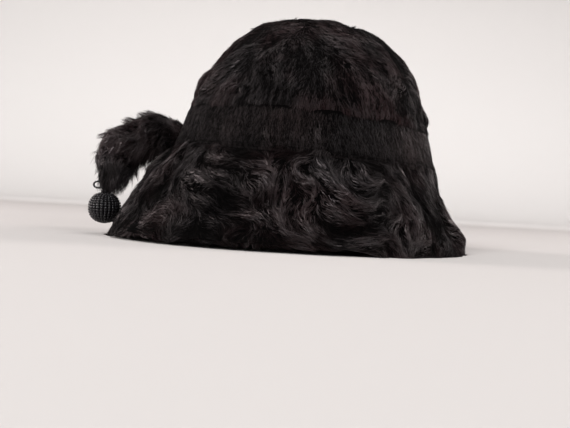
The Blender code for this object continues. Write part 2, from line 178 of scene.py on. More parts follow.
def latticeNoise(points, size, seed):
    # value noise from -1 to 1: random numbers on a lattice of this size, blended smoothly between
    cells = 24  # the lattice repeats after these
    shift = 7.3  # in cells, which keeps its planes off the hat's middle
    lattice = np.random.default_rng(seed).random((cells, cells, cells)) * 2 - 1
    place = points / size + shift
    cell = np.floor(place).astype(int)
    part = smoothStep(place - cell)
    total = 0.0
    for corner in range(8):
        step = np.array([corner & 1, corner >> 1 & 1, corner >> 2 & 1])
        weight = np.prod(np.where(step == 1, part, 1 - part), axis=-1)
        index = (cell + step) % cells
        total = total + weight * lattice[index[..., 0], index[..., 1], index[..., 2]]
    return total


def sampleGrid(grid, row, column):
    # bilinear reading of a grid whose columns wrap round; rows past an end read the end
    rows, columns = grid.shape[:2]
    row = np.clip(row, 0, rows - 1.001)
    topRow = row.astype(int)
    leftColumn = np.floor(column).astype(int)
    down, right = row - topRow, column - leftColumn
    leftColumn %= columns
    rightColumn = (leftColumn + 1) % columns
    if grid.ndim == 3:
        down, right = down[..., None], right[..., None]
    top = grid[topRow, leftColumn] * (1 - right) + grid[topRow, rightColumn] * right
    foot = grid[topRow + 1, leftColumn] * (1 - right) + grid[topRow + 1, rightColumn] * right
    return top * (1 - down) + foot * down


def columnStep(field):
    # how much a field changes from one column to the next, all round
    return (np.roll(field, -1, axis=1) - np.roll(field, 1, axis=1)) / 2


def gridFrame(points):
    # for a grid of points: the lengths of a cell around and down, and the outward normal
    around, down = columnStep(points), np.gradient(points, axis=0)
    normal = np.cross(down, around)
    normal /= np.linalg.norm(normal, axis=-1, keepdims=True)
    return np.linalg.norm(around, axis=-1), np.linalg.norm(down, axis=-1), normal


def aroundAndUp(azimuth, points, middleAzimuth, middleHeight):
    # how far points lie round the hat and above a place, which is given in degrees and mm
    away = turnFrom(azimuth, math.radians(middleAzimuth))
    return away * np.hypot(points[..., 0], points[..., 1]), points[..., 2] - middleHeight * mm


curlRules = {  # the same for every curl
    "leastBend": 2,  # degrees, so that a straight curl is still an arc
    "fadeFrom": 0.55, "fadeOver": 0.6,  # where its ends die away, in shares of its half length
    "bell": 1.35, "lowBell": 0.35, "lowBellSpread": 4, "pullSpread": 3,
    "turnBack": 0.25,  # where it heads up more steeply than this sine, its hair lies the other way, down
}


def curlField(azimuth, points, curls):
    # each curl is an arc of a circle: heading at its middle, bent over its length. Across it, the ridge is
    # a bell less a wider, lower bell. Returns the summed ridge height, the summed pull on the hair's way
    # (around, down) and the summed weight
    height = np.zeros(points.shape[:2])
    pull = np.zeros(points.shape[:2] + (2,))
    weight = np.zeros(points.shape[:2])
    leastBend = curlRules["leastBend"]
    for middleAzimuth, middleHeight, heading, length, bend, width, rise in curls:
        around, up = aroundAndUp(azimuth, points, middleAzimuth, middleHeight)
        angle = math.radians(heading)
        along = around * math.cos(angle) + up * math.sin(angle)
        across = up * math.cos(angle) - around * math.sin(angle)
        curve = math.radians(bend if abs(bend) > leastBend else leastBend) / (length * mm)
        off = np.hypot(along, across - 1 / curve) - abs(1 / curve)
        reached = np.arctan2(along, (1 / curve - across) * math.copysign(1.0, curve)) / abs(curve)
        ends = np.abs(reached) / (length * mm / 2) - curlRules["fadeFrom"]
        ends = 1 - smoothStep(ends / curlRules["fadeOver"])
        spread = (off / (width * mm / 2)) ** 2
        wide = curlRules["lowBell"] * np.exp(-spread / curlRules["lowBellSpread"])
        height += curlRules["bell"] * rise * mm * ends * (np.exp(-spread) - wide)
        way = angle + curve * reached
        if math.sin(angle) > curlRules["turnBack"]:
            way = way + math.pi
        near = ends * np.exp(-spread / curlRules["pullSpread"]) * min(1.0, abs(rise))
        pull += near[..., None] * np.stack([np.cos(way), -np.sin(way)], axis=-1)
        weight += near
    return height, pull, weight


def paintedLightField(azimuth, points, patches):
    # painted light: soft round patches that raise the crest value, so the hair there is painted lighter and
    # shinier, or lower it where the amount is negative, painted darker and duller
    total = np.zeros(points.shape[:2])
    for middleAzimuth, middleHeight, size, amount in patches:
        around, up = aroundAndUp(azimuth, points, middleAzimuth, middleHeight)
        total += amount * np.exp(-(around ** 2 + up ** 2) / (size * mm / 2) ** 2)
    return total


def combedAlong(field, flowRow, flowColumn, reach, steps):
    # the mean of a field over a stretch of the hair's way, which draws it out into locks, in units of its
    # own spread
    rows, columns = field.shape
    total = field.copy()
    for sense in (1, -1):
        row, column = np.meshgrid(np.arange(rows, dtype=float), np.arange(columns, dtype=float),
                                  indexing="ij")
        for _ in range(steps):
            stepRow = sampleGrid(flowRow, row, column) * sense * reach / steps
            stepColumn = sampleGrid(flowColumn, row, column) * sense * reach / steps
            row, column = row + stepRow, column + stepColumn
            total += sampleGrid(field, row, column)
    combed = total / (2 * steps + 1)
    return combed / (combed.std() + 1e-9)


def softened(field, passes):
    # each pass takes the mean of a cell and its neighbours, weights 1 2 1, round the columns, then down
    for _ in range(passes):
        field = (np.roll(field, 1, axis=1) + 2 * field + np.roll(field, -1, axis=1)) / 4
        above, below = np.concatenate([field[:1], field[:-1]]), np.concatenate([field[1:], field[-1:]])
        field = (above + 2 * field + below) / 4
    return field


coatRules = {  # the same for every coat
    "smallSwaySize": 0.45,  # of the large sway's
    "curlPull": 1.3, "leastOwnWay": 0.06,  # how firmly a curl turns the hair, and what it leaves
    "lockFree": 1.15, "leastLock": 0.25,  # how the noise's own locks give way on a curl
    "lockSteps": 9, "tuftSteps": 7,
    "deepestValley": 3 * mm,  # the pelt is never thinner than its lining needs
    "lowest": 0.2 * mm,  # above the floor
    "mostTurn": 40000, "mostUphill": 2500,  # cells a metre, where a grid closes to a point
}


def furCoat(points, azimuth, style, calm):
    # a coat over a base grid: the hair's way from curls and noise, and locks combed along that way. calm is
    # 1 where the relief is full and 0 where there is none
    aroundLength, downLength, normal = gridFrame(points)
    ridge, pull, weight = curlField(azimuth, points, style["curls"])
    seed = style["seed"]
    angle = style["sway"] * latticeNoise(points, style["swaySize"], seed)
    smallSize = style["swaySize"] * coatRules["smallSwaySize"]
    angle += style["smallSway"] * latticeNoise(points, smallSize, seed + 1)
    angle += style["lean"]
    ownWay = np.clip(1 - weight, coatRules["leastOwnWay"], 1)[..., None]
    way = np.stack([np.sin(angle), np.cos(angle)], axis=-1) * ownWay + pull * coatRules["curlPull"]
    way = softened(way, style["softness"])
    way /= np.linalg.norm(way, axis=-1, keepdims=True) + 1e-9
    flowColumn = np.clip(way[..., 0] / aroundLength, -coatRules["mostTurn"], coatRules["mostTurn"])
    flowRow = way[..., 1] / downLength
    lock = combedAlong(latticeNoise(points, style["lockSize"], seed + 2), flowRow, flowColumn,
                       style["lockLength"], coatRules["lockSteps"])
    tuft = combedAlong(latticeNoise(points, style["tuftSize"], seed + 3), flowRow, flowColumn,
                       style["tuftLength"], coatRules["tuftSteps"])
    ownLock = np.clip(coatRules["lockFree"] - weight, coatRules["leastLock"], 1)
    waves = (ridge + style["lockRise"] * lock * ownLock) * calm
    deepest = coatRules["deepestValley"]
    waves = np.where(waves < 0, deepest * np.tanh(waves / deepest), waves)
    relief = waves + style["tuftRise"] * tuft * calm
    raised = points + normal * relief[..., None]
    raised[..., 2] = np.maximum(raised[..., 2], coatRules["lowest"] + floorHeight)
    # the uphill step on the waves, in cells, which gathers the strands along the crests
    uphillColumn = columnStep(waves) / aroundLength ** 2
    uphillRow = np.gradient(waves, axis=0) / downLength ** 2
    # the crest value paints light and shade: high on the waves' crests and in the light patches, low in the
    # valleys, in the dark patches and, through edgeShade, at the edges
    crest = 0.5 + waves / style["crestSpan"] + paintedLightField(azimuth, points, style["patches"])
    crest = np.clip(crest - style["edgeShade"] * (1 - calm), 0, 1)
    return {"points": raised, "normal": gridFrame(raised)[2], "areas": aroundLength * downLength,
            "aspect": (downLength / aroundLength).mean(axis=1),
            "flowRow": flowRow, "flowColumn": flowColumn, "tuft": tuft, "lock": lock, "crest": crest,
            "uphillRow": uphillRow,
            "uphillColumn": np.clip(uphillColumn, -coatRules["mostUphill"], coatRules["mostUphill"])}


# Meshes


def meshObject(name, points, faceSizes, corners, material):
    mesh = bpy.data.meshes.new(name)
    mesh.vertices.add(len(points))
    mesh.vertices.foreach_set("co", np.ascontiguousarray(points, np.float32).ravel())
    mesh.loops.add(len(corners))
    mesh.loops.foreach_set("vertex_index", np.ascontiguousarray(corners, np.int32))
    mesh.polygons.add(len(faceSizes))
    starts = np.concatenate([[0], np.cumsum(faceSizes)[:-1]])
    mesh.polygons.foreach_set("loop_start", starts.astype(np.int32))
    mesh.polygons.foreach_set("use_smooth", np.full(len(faceSizes), True))
    mesh.update(calc_edges=True)
    mesh.validate()
    mesh.materials.append(material)
    made = bpy.data.objects.new(name, mesh)
    bpy.context.scene.collection.objects.link(made)
    return made


def ringFaces(rows, sides, caps, tube=False):
    # quads between each ring of points and the next, then fans of triangles from the points that come
    # after the rings: one over the first ring, and a second one under the last. A tube's last ring meets
    # its first
    upper, side = np.meshgrid(np.arange(rows if tube else rows - 1), np.arange(sides), indexing="ij")
    lower, beside = (upper + 1) % rows, (side + 1) % sides
    quads = [upper * sides + side, lower * sides + side, lower * sides + beside, upper * sides + beside]
    here, foot = np.arange(sides), (rows - 1) * sides
    there = (here + 1) % sides
    fans = [[np.full(sides, rows * sides), here, there],
            [np.full(sides, rows * sides + 1), foot + there, foot + here]]
    corners = [np.stack(faces, axis=-1).ravel() for faces in (quads, *fans[:caps])]
    return np.repeat([4, 3], [upper.size, caps * sides]), np.concatenate(corners)


def loopedShell(name, rings, material, ends=None, lining=None, liningFrom=0):
    # rings of equal length joined in order, outwards. The ends are two points, or else the last ring meets
    # the first. From the ring liningFrom on, the faces take the lining's material
    rings = np.asarray(rings)
    count, sides = rings.shape[:2]
    points = rings.reshape(-1, 3)
    if ends:
        points = np.vstack([points, *ends])
    sizes, corners = ringFaces(count, sides, 2 if ends else 0, tube=not ends)
    made = meshObject(name, points, sizes, corners, material)
    if lining:
        made.data.materials.append(lining)
        ring = np.arange(len(sizes)) // sides
        inside = (ring >= liningFrom) & (not ends or ring != count - 1)  # the first fan is outside
        made.data.polygons.foreach_set("material_index", inside.astype(np.int32))
    return made


def addValues(made, name, values):
    layer = made.data.attributes.new(name, "FLOAT", "POINT")
    layer.data.foreach_set("value", values.astype(np.float32))


strandRules = {  # the same for every piece of fur
    "valleyRoots": 0.3, "crestRoots": 0.9,  # roots for an area in a valley, and how many more on a crest
    "clumpWarp": 0.8, "clumpPower": 1.3, "mostAcross": 4096,  # the last is more patches than a row holds
    "shortest": 0.65, "lengthSpread": 0.6, "tuftLength": 0.12,  # shares of the style's length
    "leastLift": 0.35, "liftSpread": 0.9, "liftPower": 1.5, "tuftRange": (-1, 1.6), "wildStray": 2.5,
    "rootSink": 0.4 * mm, "risePower": 1.2, "strayStart": 0.6, "gatherStart": 0.4,
    "edgeOut": 0.6,  # a strand past the last row goes out this much of what the edge does
    "droopSlope": 0.2,  # hair droops where the skin looks up less than this
    "floorGap": 0.15 * mm, "layOut": 0.3,
    "taper": ((0, 0.35, 1), (0.75, 1.0, 0.5)),  # shares of the length, shares of the width there
    # painted light: strands on raised tufts are given a lighter tone and a shinier copy of the material
    "raisedTuftShine": 0.10, "raisedTuftLight": 0.16, "toneSpread": 0.2,
}


def rootStrands(coat, count, rng, keep):
    # strands rooted at random by area, more of them on the crests, as places in the coat's grid
    columns = coat["areas"].shape[1]
    chance = coat["areas"] * (strandRules["valleyRoots"] + strandRules["crestRoots"] * coat["crest"]) * keep
    chance[0] = 0  # none on the first row
    chance = np.cumsum(chance.ravel())
    cell = np.searchsorted(chance, rng.random(count) * chance[-1])
    row = cell // columns + rng.random(count) - 0.5
    return row, cell % columns + rng.random(count) - 0.5


def clumpLeaders(coat, style, row, column):
    # neighbours lean together: each strand follows the first one of its patch of skin
    warp = strandRules["clumpWarp"] * sampleGrid(coat["lock"], row, column)
    patchRow = np.floor(row / style["clumpCells"][0] + warp).astype(int)
    patchColumn = np.floor(column / style["clumpCells"][1] + warp).astype(int)
    patch = patchRow * strandRules["mostAcross"] + patchColumn
    leader, member = np.unique(patch, return_index=True, return_inverse=True)[1:]
    return leader[member.ravel()]


def strandSpines(coat, style, row, column, size, lift, stray, leader, lean):
    # each strand follows the hair's way in two or three steps, rising from the skin by a power of the
    # share, drawn to its leader, and past the coat's last row it hangs on along the edge's own way
    steps, rows = style["steps"], len(coat["areas"])
    edgeOut = strandRules["edgeOut"]
    edgeStep = (coat["points"][-1] - coat["points"][-2]) * [edgeOut, edgeOut, 1.0]
    edgeStep = np.stack([edgeStep, edgeStep])
    spine, normals = [], []
    for step in range(steps + 1):
        share = step / steps
        past = np.maximum(row - (rows - 1), 0.0)[:, None]
        past = style["overhang"] * (1 - np.exp(-past / style["overhang"]))
        normal = sampleGrid(coat["normal"], row, column)
        rise = lift * share ** strandRules["risePower"] - strandRules["rootSink"] * (1 - share)
        place = sampleGrid(coat["points"], row, column)
        place = place + sampleGrid(edgeStep, 0 * row, column) * past + normal * rise[:, None]
        place = place + (lean * share ** strandRules["clumpPower"])[:, None] * (place[leader] - place)
        place[:, 2] -= style["droop"] * share ** 2 * np.clip(strandRules["droopSlope"] - normal[:, 2], 0, 1)
        # what would hang below the floor lies out on it
        under = np.maximum(strandRules["floorGap"] + floorHeight - place[:, 2], 0)
        outward = place[:, :2] / np.linalg.norm(place[:, :2], axis=1, keepdims=True)
        place[:, :2] += outward * (strandRules["layOut"] * under)[:, None]
        place[:, 2] += under
        spine.append(place)
        normals.append(normal)
        flowRow = sampleGrid(coat["flowRow"], row, column)
        flowColumn = sampleGrid(coat["flowColumn"], row, column)
        turned = stray * (strandRules["strayStart"] + share)
        ratio = np.interp(np.clip(row, 0, rows - 1), np.arange(rows), coat["aspect"])
        gather = style["gather"] * (strandRules["gatherStart"] + share)
        row = row + (flowRow * np.cos(turned) - flowColumn * np.sin(turned) / ratio) * size / steps
        row = row + gather * sampleGrid(coat["uphillRow"], row, column)
        column = column + (flowColumn * np.cos(turned) + flowRow * np.sin(turned) * ratio) * size / steps
        column = column + gather * sampleGrid(coat["uphillColumn"], row, column)
    return np.stack(spine), np.stack(normals), row, column


def ribbonMesh(name, spine, normals, roll, width, material):
    # each strand is a ribbon that tapers to a point, turned by its roll about its own length
    steps, count = len(spine) - 1, spine.shape[1]
    tangent = np.gradient(spine, axis=0)
    tangent /= np.linalg.norm(tangent, axis=-1, keepdims=True) + 1e-12
    sideways = np.cross(tangent, normals)
    sideways /= np.linalg.norm(sideways, axis=-1, keepdims=True) + 1e-12
    roll = roll[None, :, None]
    sideways = sideways * np.cos(roll) + np.cross(sideways, tangent) * np.sin(roll)
    taper = np.interp(np.arange(steps) / steps, *strandRules["taper"])[:, None, None] * width / 2
    left, right = spine[:steps] - sideways[:steps] * taper, spine[:steps] + sideways[:steps] * taper
    points = np.concatenate([left, right, spine[steps:]]).transpose(1, 0, 2).reshape(-1, 3)
    ribbon = [corner for k in range(steps - 1) for corner in (k, steps + k, steps + k + 1, k + 1)]
    ribbon += [steps - 1, 2 * steps - 1, 2 * steps]
    corners = (np.array(ribbon) + (2 * steps + 1) * np.arange(count)[:, None]).ravel()
    return meshObject(name, points, np.tile([4] * (steps - 1) + [3], count), corners, material)


def growFur(name, coat, style, seed, count, hairs, keep=1.0):
    # one piece of fur: strands of uneven length and lift, some wild and some in raised spikes, in three
    # shaded to lit copies of one material by how high they lie on the crests and by the painted light patches
    steps = style["steps"]
    rng = np.random.default_rng(seed)
    row, column = rootStrands(coat, count, rng, keep)
    tuft = sampleGrid(coat["tuft"], row, column)
    size = style["length"] * (strandRules["shortest"] + strandRules["lengthSpread"] * rng.random(count))
    size = size * (1 + strandRules["tuftLength"] * tuft)
    raised = rng.random(count) ** strandRules["liftPower"]
    lift = style["lift"] * (strandRules["leastLift"] + strandRules["liftSpread"] * raised)
    lift = lift + style["tuftLift"] * np.clip(tuft, *strandRules["tuftRange"])
    wild = rng.random(count) < style["wildShare"]
    lift = np.where(wild, lift + style["wildLift"] * rng.random(count), lift)
    stray = rng.normal(0, style["stray"], count) * np.where(wild, strandRules["wildStray"], 1.0)
    leader = clumpLeaders(coat, style, row, column)
    spiky = rng.random(count)[leader] < style["spikeShare"]
    lift = lift + np.where(spiky, style["spikeLift"] * (0.5 + 0.5 * rng.random(count)[leader]), 0)
    lean = np.where(spiky, style["spikeLean"], style["clump"])
    spine, normals, row, column = strandSpines(coat, style, row, column, size, lift, stray, leader, lean)
    made = ribbonMesh(name, spine, normals, rng.normal(0, style["roll"], count), style["width"], hairs[0])
    for hair in hairs[1:]:
        made.data.materials.append(hair)
    crest = sampleGrid(coat["crest"], row, column)
    # the level is the crest value, raised on the raised tufts (painted sheen), with some random spread
    level = crest + strandRules["raisedTuftShine"] * tuft + style["levelNoise"] * rng.normal(size=count)
    # painted shade and sheen: a higher level picks a shinier, more lit copy of the material
    materialIndex = np.repeat(np.digitize(level, style["levels"]), steps)
    made.data.polygons.foreach_set("material_index", materialIndex.astype(np.int32))
    # tone: partly random from strand to strand, partly painted light, lighter on the raised tufts
    tone = 0.5 + strandRules["raisedTuftLight"] * tuft + strandRules["toneSpread"] * rng.normal(size=count)
    shares = np.arange(steps) / steps
    addValues(made, "tone", np.repeat(np.clip(tone, 0, 1), 2 * steps + 1))
    addValues(made, "tip", np.tile([*shares, *shares, 1], count))
    addValues(made, "crest", np.repeat(crest, 2 * steps + 1))
    return made


def settle(piece, slotName, *nodes):
    # moves the mesh into the solids' frame, says what it rides on and hides what it replaces; slotName is not
    # used
    places = np.empty(len(piece.data.vertices) * 3, np.float32)
    piece.data.vertices.foreach_get("co", places)
    places = places.reshape(-1, 3) + hatShift.astype(np.float32)
    piece.data.vertices.foreach_set("co", places.ravel())
    piece.data.update()
    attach(piece, "root")
    if nodes:
        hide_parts(*nodes)
    return piece


# Materials


def newMaterial(name):
    made = bpy.data.materials.new(name)
    made.use_nodes = True
    return made, made.node_tree, made.node_tree.nodes["Principled BSDF"]


def feed(tree, node, inputs):
    # an output of another node is linked into the input, and a number or a colour is set on it
    for name, value in inputs.items():
        if isinstance(value, bpy.types.NodeSocket):
            tree.links.new(value, node.inputs[name])
        else:
            node.inputs[name].default_value = value


def addNode(tree, kind, inputs, **settings):
    node = tree.nodes.new("ShaderNode" + kind)
    for name, value in settings.items():
        setattr(node, name, value)
    feed(tree, node, inputs)
    return node


def grain(tree, scale, detail=2):
    # noise on the piece's own coordinates
    place = addNode(tree, "TexCoord", {}).outputs["Object"]
    return addNode(tree, "TexNoise", {"Vector": place, "Scale": scale, "Detail": detail}).outputs["Fac"]


def stretched(tree, value, low, high, start=0, end=1):
    # a number between start and end made one between low and high
    inputs = {"Value": value, "From Min": start, "From Max": end, "To Min": low, "To Max": high}
    return addNode(tree, "MapRange", inputs).outputs["Result"]


def blended(tree, kind, factor, first, second):
    inputs = {"Factor": factor, "A": first, "B": second}
    return addNode(tree, "Mix", inputs, data_type="RGBA", blend_type=kind).outputs["Result"]


def bumped(tree, height, strength, distance):
    inputs = {"Height": height, "Strength": strength, "Distance": distance}
    return addNode(tree, "Bump", inputs).outputs["Normal"]


def furMaterial(name, look):
    # hair: black to grey by strand and warm by patch. Painted shade darkens the colour in the valleys and at
    # the roots, the valleys are dull, and the crests shine
    made, tree, shader = newMaterial(name)
    crest, tone, tip = (addNode(tree, "Attribute", {}, attribute_name=value).outputs["Fac"]
                        for value in ("crest", "tone", "tip"))
    patch = stretched(tree, grain(tree, look["patchScale"]), 0, 1, *look["patchRange"])
    strand = blended(tree, "MIX", tone, (*look["black"], 1), (*look["grey"], 1))
    shaded = blended(tree, "MIX", patch, strand, (*look["warm"], 1))
    # painted shade: the colour grows darker where the crest value is low (valleys) and near the root (low
    # tip)
    for value, dark in ((crest, look["valleyPaintedShade"]), (tip, look["rootPaintedShade"])):
        shaded = blended(tree, "MULTIPLY", 1.0, shaded, stretched(tree, value, dark, 1.0))
    feed(tree, shader, {"Base Color": shaded, "Specular IOR Level": look["shine"],
                        "Roughness": stretched(tree, crest, look["valleyRough"], look["crestRough"]),
                        "Specular Tint": (1.0, 0.87, 0.89, 1)})
    return made


def hairSet(name, look):
    # three copies of one hair material, shaded, half lit and lit: the same colours with more and more shine,
    # which paint shade in the valleys and sheen on the crests
    look = {"patchRange": (0.42, 0.68), **look}
    return [furMaterial(name + layer, {**look, "shine": shine, "crestRough": rough})
            for layer, shine, rough in zip(("ShadedCopy", "Coat", "LitCopy"), look["shines"], look["roughs"])]


def skinMaterial(name, look):
    # the pelt or thread under the hair and the beads: fine grain in colour and bump
    made, tree, shader = newMaterial(name)
    noise = grain(tree, look["grain"], 4)
    ramp = addNode(tree, "ValToRGB", {"Fac": noise})
    for element, share in zip(ramp.color_ramp.elements, (0.5, 1.5)):
        element.color = (*[share * part for part in look["colour"]], 1)
    feed(tree, shader, {"Base Color": ramp.outputs["Color"], "Normal": bumped(tree, noise, 0.6, 0.4 * mm),
                        "Roughness": look["rough"], "Specular IOR Level": look["shine"]})
    return made


def liningMaterial(name, look):
    # satin: a fine twill across a soft pucker, its colour painted darker in the pucker's hollows and lighter
    # on its raised parts (painted shade and painted light)
    made, tree, shader = newMaterial(name)
    place = addNode(tree, "TexCoord", {}).outputs["Object"]
    twill = addNode(tree, "TexWave", {"Vector": place, "Scale": look["twill"]}, bands_direction="DIAGONAL")
    pucker = grain(tree, look["pucker"])
    height = addNode(tree, "Math", {}, operation="MULTIPLY_ADD")
    feed(tree, height, {0: twill.outputs["Fac"], 1: look["twillHeight"], 2: pucker})
    feed(tree, shader, {"Base Color": blended(tree, "MIX", pucker, (*look["dark"], 1), (*look["light"], 1)),
                        "Normal": bumped(tree, height.outputs[0], 1.0, look["depth"]),
                        "Roughness": look["rough"], "Sheen Weight": look["sheen"]})
    return made


def beadMaterial(name, look):
    # jet glass: nearly black and glossy, a little smoky from bead to bead
    made, tree, shader = newMaterial(name)
    smoke = stretched(tree, grain(tree, look["grain"]), *look["roughs"], *look["smoke"])
    feed(tree, shader, {"Base Color": (*look["colour"], 1), "Roughness": smoke, "IOR": look["glass"]})
    return made


# the valley and root numbers are painted shade, multiplied into the hair's colour
curlyHair = hairSet("curlyHair", {
    "black": (0.0036, 0.0032, 0.0033), "grey": (0.0080, 0.0072, 0.0075), "warm": (0.032, 0.0165, 0.017),
    "rootPaintedShade": 0.35, "valleyPaintedShade": 0.25, "valleyRough": 0.7, "patchScale": 32,
    "shines": (0.07, 0.30, 0.66), "roughs": (0.6, 0.40, 0.34)})
flatHair = hairSet("flatHair", {
    "black": (0.0046, 0.0042, 0.0043), "grey": (0.0090, 0.0082, 0.0085), "warm": (0.045, 0.022, 0.023),
    "rootPaintedShade": 0.5, "valleyPaintedShade": 0.45, "valleyRough": 0.7, "patchScale": 24,
    "shines": (0.12, 0.32, 0.62), "roughs": (0.6, 0.43, 0.38)})
smoothHair = hairSet("smoothHair", {
    "black": (0.0052, 0.0049, 0.0050), "grey": (0.0088, 0.0081, 0.0085), "warm": (0.020, 0.013, 0.0125),
    "rootPaintedShade": 0.65, "valleyPaintedShade": 0.75, "valleyRough": 0.65, "patchScale": 20,
    "shines": (0.18, 0.26, 0.55), "roughs": (0.58, 0.50, 0.45)})
peltSkin = skinMaterial("blackPelt", {
    "colour": (0.0013, 0.0011, 0.0011), "rough": 0.85, "grain": 900, "shine": 0.02})
blackThread = skinMaterial("blackThread", {
    "colour": (0.022, 0.020, 0.023), "rough": 0.6, "grain": 4000, "shine": 0.15})
satinLining = liningMaterial("satinLining", {
    "dark": (0.006, 0.0055, 0.006), "light": (0.016, 0.014, 0.015), "twill": 900, "pucker": 55,
    "twillHeight": 0.08, "depth": 1.2 * mm, "rough": 0.42, "sheen": 0.15})
jetBead = beadMaterial("jetBead", {
    "colour": (0.0105, 0.0095, 0.0115), "roughs": (0.03, 0.36), "smoke": (0.38, 0.55), "grain": 700,
    "glass": 1.47})

strandShare = 1.0

# Brim: the curliest fur, with the curls that show in front placed one by one

brimStyle = {
    "columns": 760, "rows": 92, "seed": 11, "steps": 3,
    "sway": 1.5, "smallSway": 0.7, "swaySize": 13 * mm, "lean": 0.0,
    "lockSize": 7 * mm, "lockLength": 13 * mm, "lockRise": 1.7 * mm,
    "tuftSize": 1.7 * mm, "tuftLength": 5 * mm, "tuftRise": 0.30 * mm,
    "length": 9 * mm, "lift": 0.8 * mm, "tuftLift": 0.25 * mm, "width": 0.25 * mm,
    "stray": 0.17, "wildShare": 0.06, "wildLift": 1.6 * mm, "roll": 0.85, "softness": 6, "edgeShade": 0.25,
    "gather": 1.6 * mm, "crestSpan": 6 * mm, "overhang": 8.0, "droop": 0.0,
    "levels": (0.40, 0.64), "levelNoise": 0.08,
    "clump": 0.15, "clumpCells": (4, 5), "spikeShare": 0.012, "spikeLift": 1.4 * mm, "spikeLean": 0.4,
    "frontStrands": 38500, "frontSeed": 62, "backStrands": 30000, "backSeed": 63,
    "overSeam": 2.2 * mm, "seamClimb": 3.5 * mm, "seamReach": 0.05, "climbFrom": -0.9, "climbOver": 1.4,
    "calmStart": 0.02, "calmReach": 0.14, "rimRelief": 0.35, "rimReach": 0.16,  # shares of the way down
    "tailCalm": 0.8, "tailReach": math.radians(20), "tailDown": 0.4,
    "insideRings": 14, "frontEdge": 0.15, "frontEase": 0.3,
    # azimuth, height mm, size mm, amount: painted highlight patches where the amount is positive, painted
    # shade where it is negative
    "patches": ((246, 32, 22, -0.3), (242, 11, 24, -0.35), (252, 12, 16, -0.25), (260, 23, 10, -0.3),
                (283, 14, 20, -0.35), (291, 19, 18, -0.35), (267, 36, 10, -0.25), (300, 22, 12, -0.3),
                (251, 57, 24, -0.25), (264, 57, 14, -0.2), (229, 17, 18, -0.15), (299, 37, 9, -0.25),
                (258, 42, 13, 0.35), (272, 41, 6, 0.25), (279, 35, 10, 0.3), (285, 29, 9, 0.25),
                (291, 48, 14, 0.3), (272, 22, 9, 0.25), (279, 25, 12, 0.3), (259, 18, 9, 0.35),
                (286, 8, 10, 0.2), (310, 8, 16, 0.1), (235, 43, 18, 0.15), (223, 20, 14, 0.1),
                (316, 42, 28, -0.2), (324, 22, 26, -0.2)),
    # azimuth, height mm, heading, length mm, bend, width mm, rise mm: locks, then thin ridges, then valleys
    "curls": (
        (265, 39, -95, 30, -30, 8, 2.2), (268, 55, 35, 18, -150, 7, 1.8),
        (268, 45, -35, 15, 85, 7, 2.2), (272.5, 35, -100, 21, -120, 7, 2.6),
        (270.5, 17, -70, 24, 90, 7, 2.4), (278.5, 40, -45, 28, 35, 9, 3),
        (288.5, 30, 10, 30, 140, 8, 2.4), (288.5, 51, -95, 18, -125, 7, 1.8),
        (291.5, 43, 10, 27, 95, 7, 2.2), (296.5, 55, -40, 11, -40, 7, 1.4),
        (278.5, 25, -35, 22, -20, 9, 2.6), (285, 6, 10, 41, 20, 7, 2.2),
        (290.5, 22, 20, 16, 5, 6, 1.2), (258.5, 18, -30, 19, -50, 9, 2.3),
        (264.5, 24, -80, 16, 30, 8, 1.6), (255.5, 46, 5, 16, -20, 9, 2.4),
        (261, 42, -85, 22, -60, 9, 2.2), (257, 38, -75, 14, -70, 8, 1.6),
        (322, 30, -75, 30, -30, 12, 1.8), (322, 4, -150, 30, -80, 9, 1.8),
        (306.5, 7, 15, 28, 5, 8, 1.8), (301, 12, -100, 17, -30, 7, 1.6),
        (320, 52, -75, 26, -30, 14, 1.6), (330, 45, -110, 21, -20, 12, 1.6),
        (306.5, 47, -60, 16, -50, 9, 2), (310, 26, -95, 21, -80, 9, 1.8),
        (238, 40, -10, 36, -30, 8, 2.5), (242, 54, -5, 36, 10, 7, 1.6),
        (226, 45, -100, 18, 5, 9, 1.6), (229, 24, -15, 33, -120, 9, 2),
        (241, 28, -20, 19, -80, 8, 1.8), (246.5, 42, -40, 18, -90, 8, 2),
        (223, 14, 10, 30, -25, 9, 1.8), (246, 13, -25, 22, -90, 9, 1.8),
        (233.5, 31, -60, 16, -60, 7, 1.4), (210, 38, -105, 26, 25, 9, 1.8),
        (205, 18, -100, 24, -30, 9, 1.6), (214, 52, -110, 20, 20, 8, 1.4),
        (280, 38, -45, 33, 35, 2.6, 1.0), (273.5, 37, -95, 22, -135, 2.6, 0.9),
        (270.5, 18, -60, 19, 105, 2.6, 0.9), (279.5, 26, -35, 21, -10, 2.6, 0.9),
        (285, 7, 10, 40, 20, 2.6, 0.9), (288.5, 42, -10, 28, 115, 2.6, 0.9),
        (258.5, 19, -20, 22, -65, 2.6, 0.8), (234.5, 39, -10, 27, -5, 2.6, 0.9),
        (235.5, 35, -10, 26, -5, 4, -1.8), (250.5, 32, -10, 21, -35, 6, -2),
        (259, 24, -20, 18, 35, 5, -1.6), (263, 38, -90, 30, -30, 3.5, -1.5),
        (281, 28, -35, 28, 50, 4, -1.8), (270, 37, -40, 11, -80, 5, -1.6),
        (285, 15, 10, 42, 30, 6, -2.4), (302.5, 37, -75, 31, -80, 6, -1.8),
        (284, 46, -55, 13, 65, 4.5, -1.5), (292.5, 58, -5, 10, 0, 5, -1.5),
        (255.5, 13, 15, 29, 10, 5, -1.5), (249, 57, -10, 31, 0, 4, -1.4),
        (266.5, 58, 15, 24, 10, 4, -1.4), (243.5, 48, -10, 20, 25, 4, -1.3),
        (274, 19, -65, 12, -15, 4, -1.5), (299, 11, -95, 17, -15, 4, -1.4),
        (317.5, 24, -70, 23, -110, 4.5, -1.3), (248.5, 19, -5, 26, -5, 5, -1.6),
    ),
}


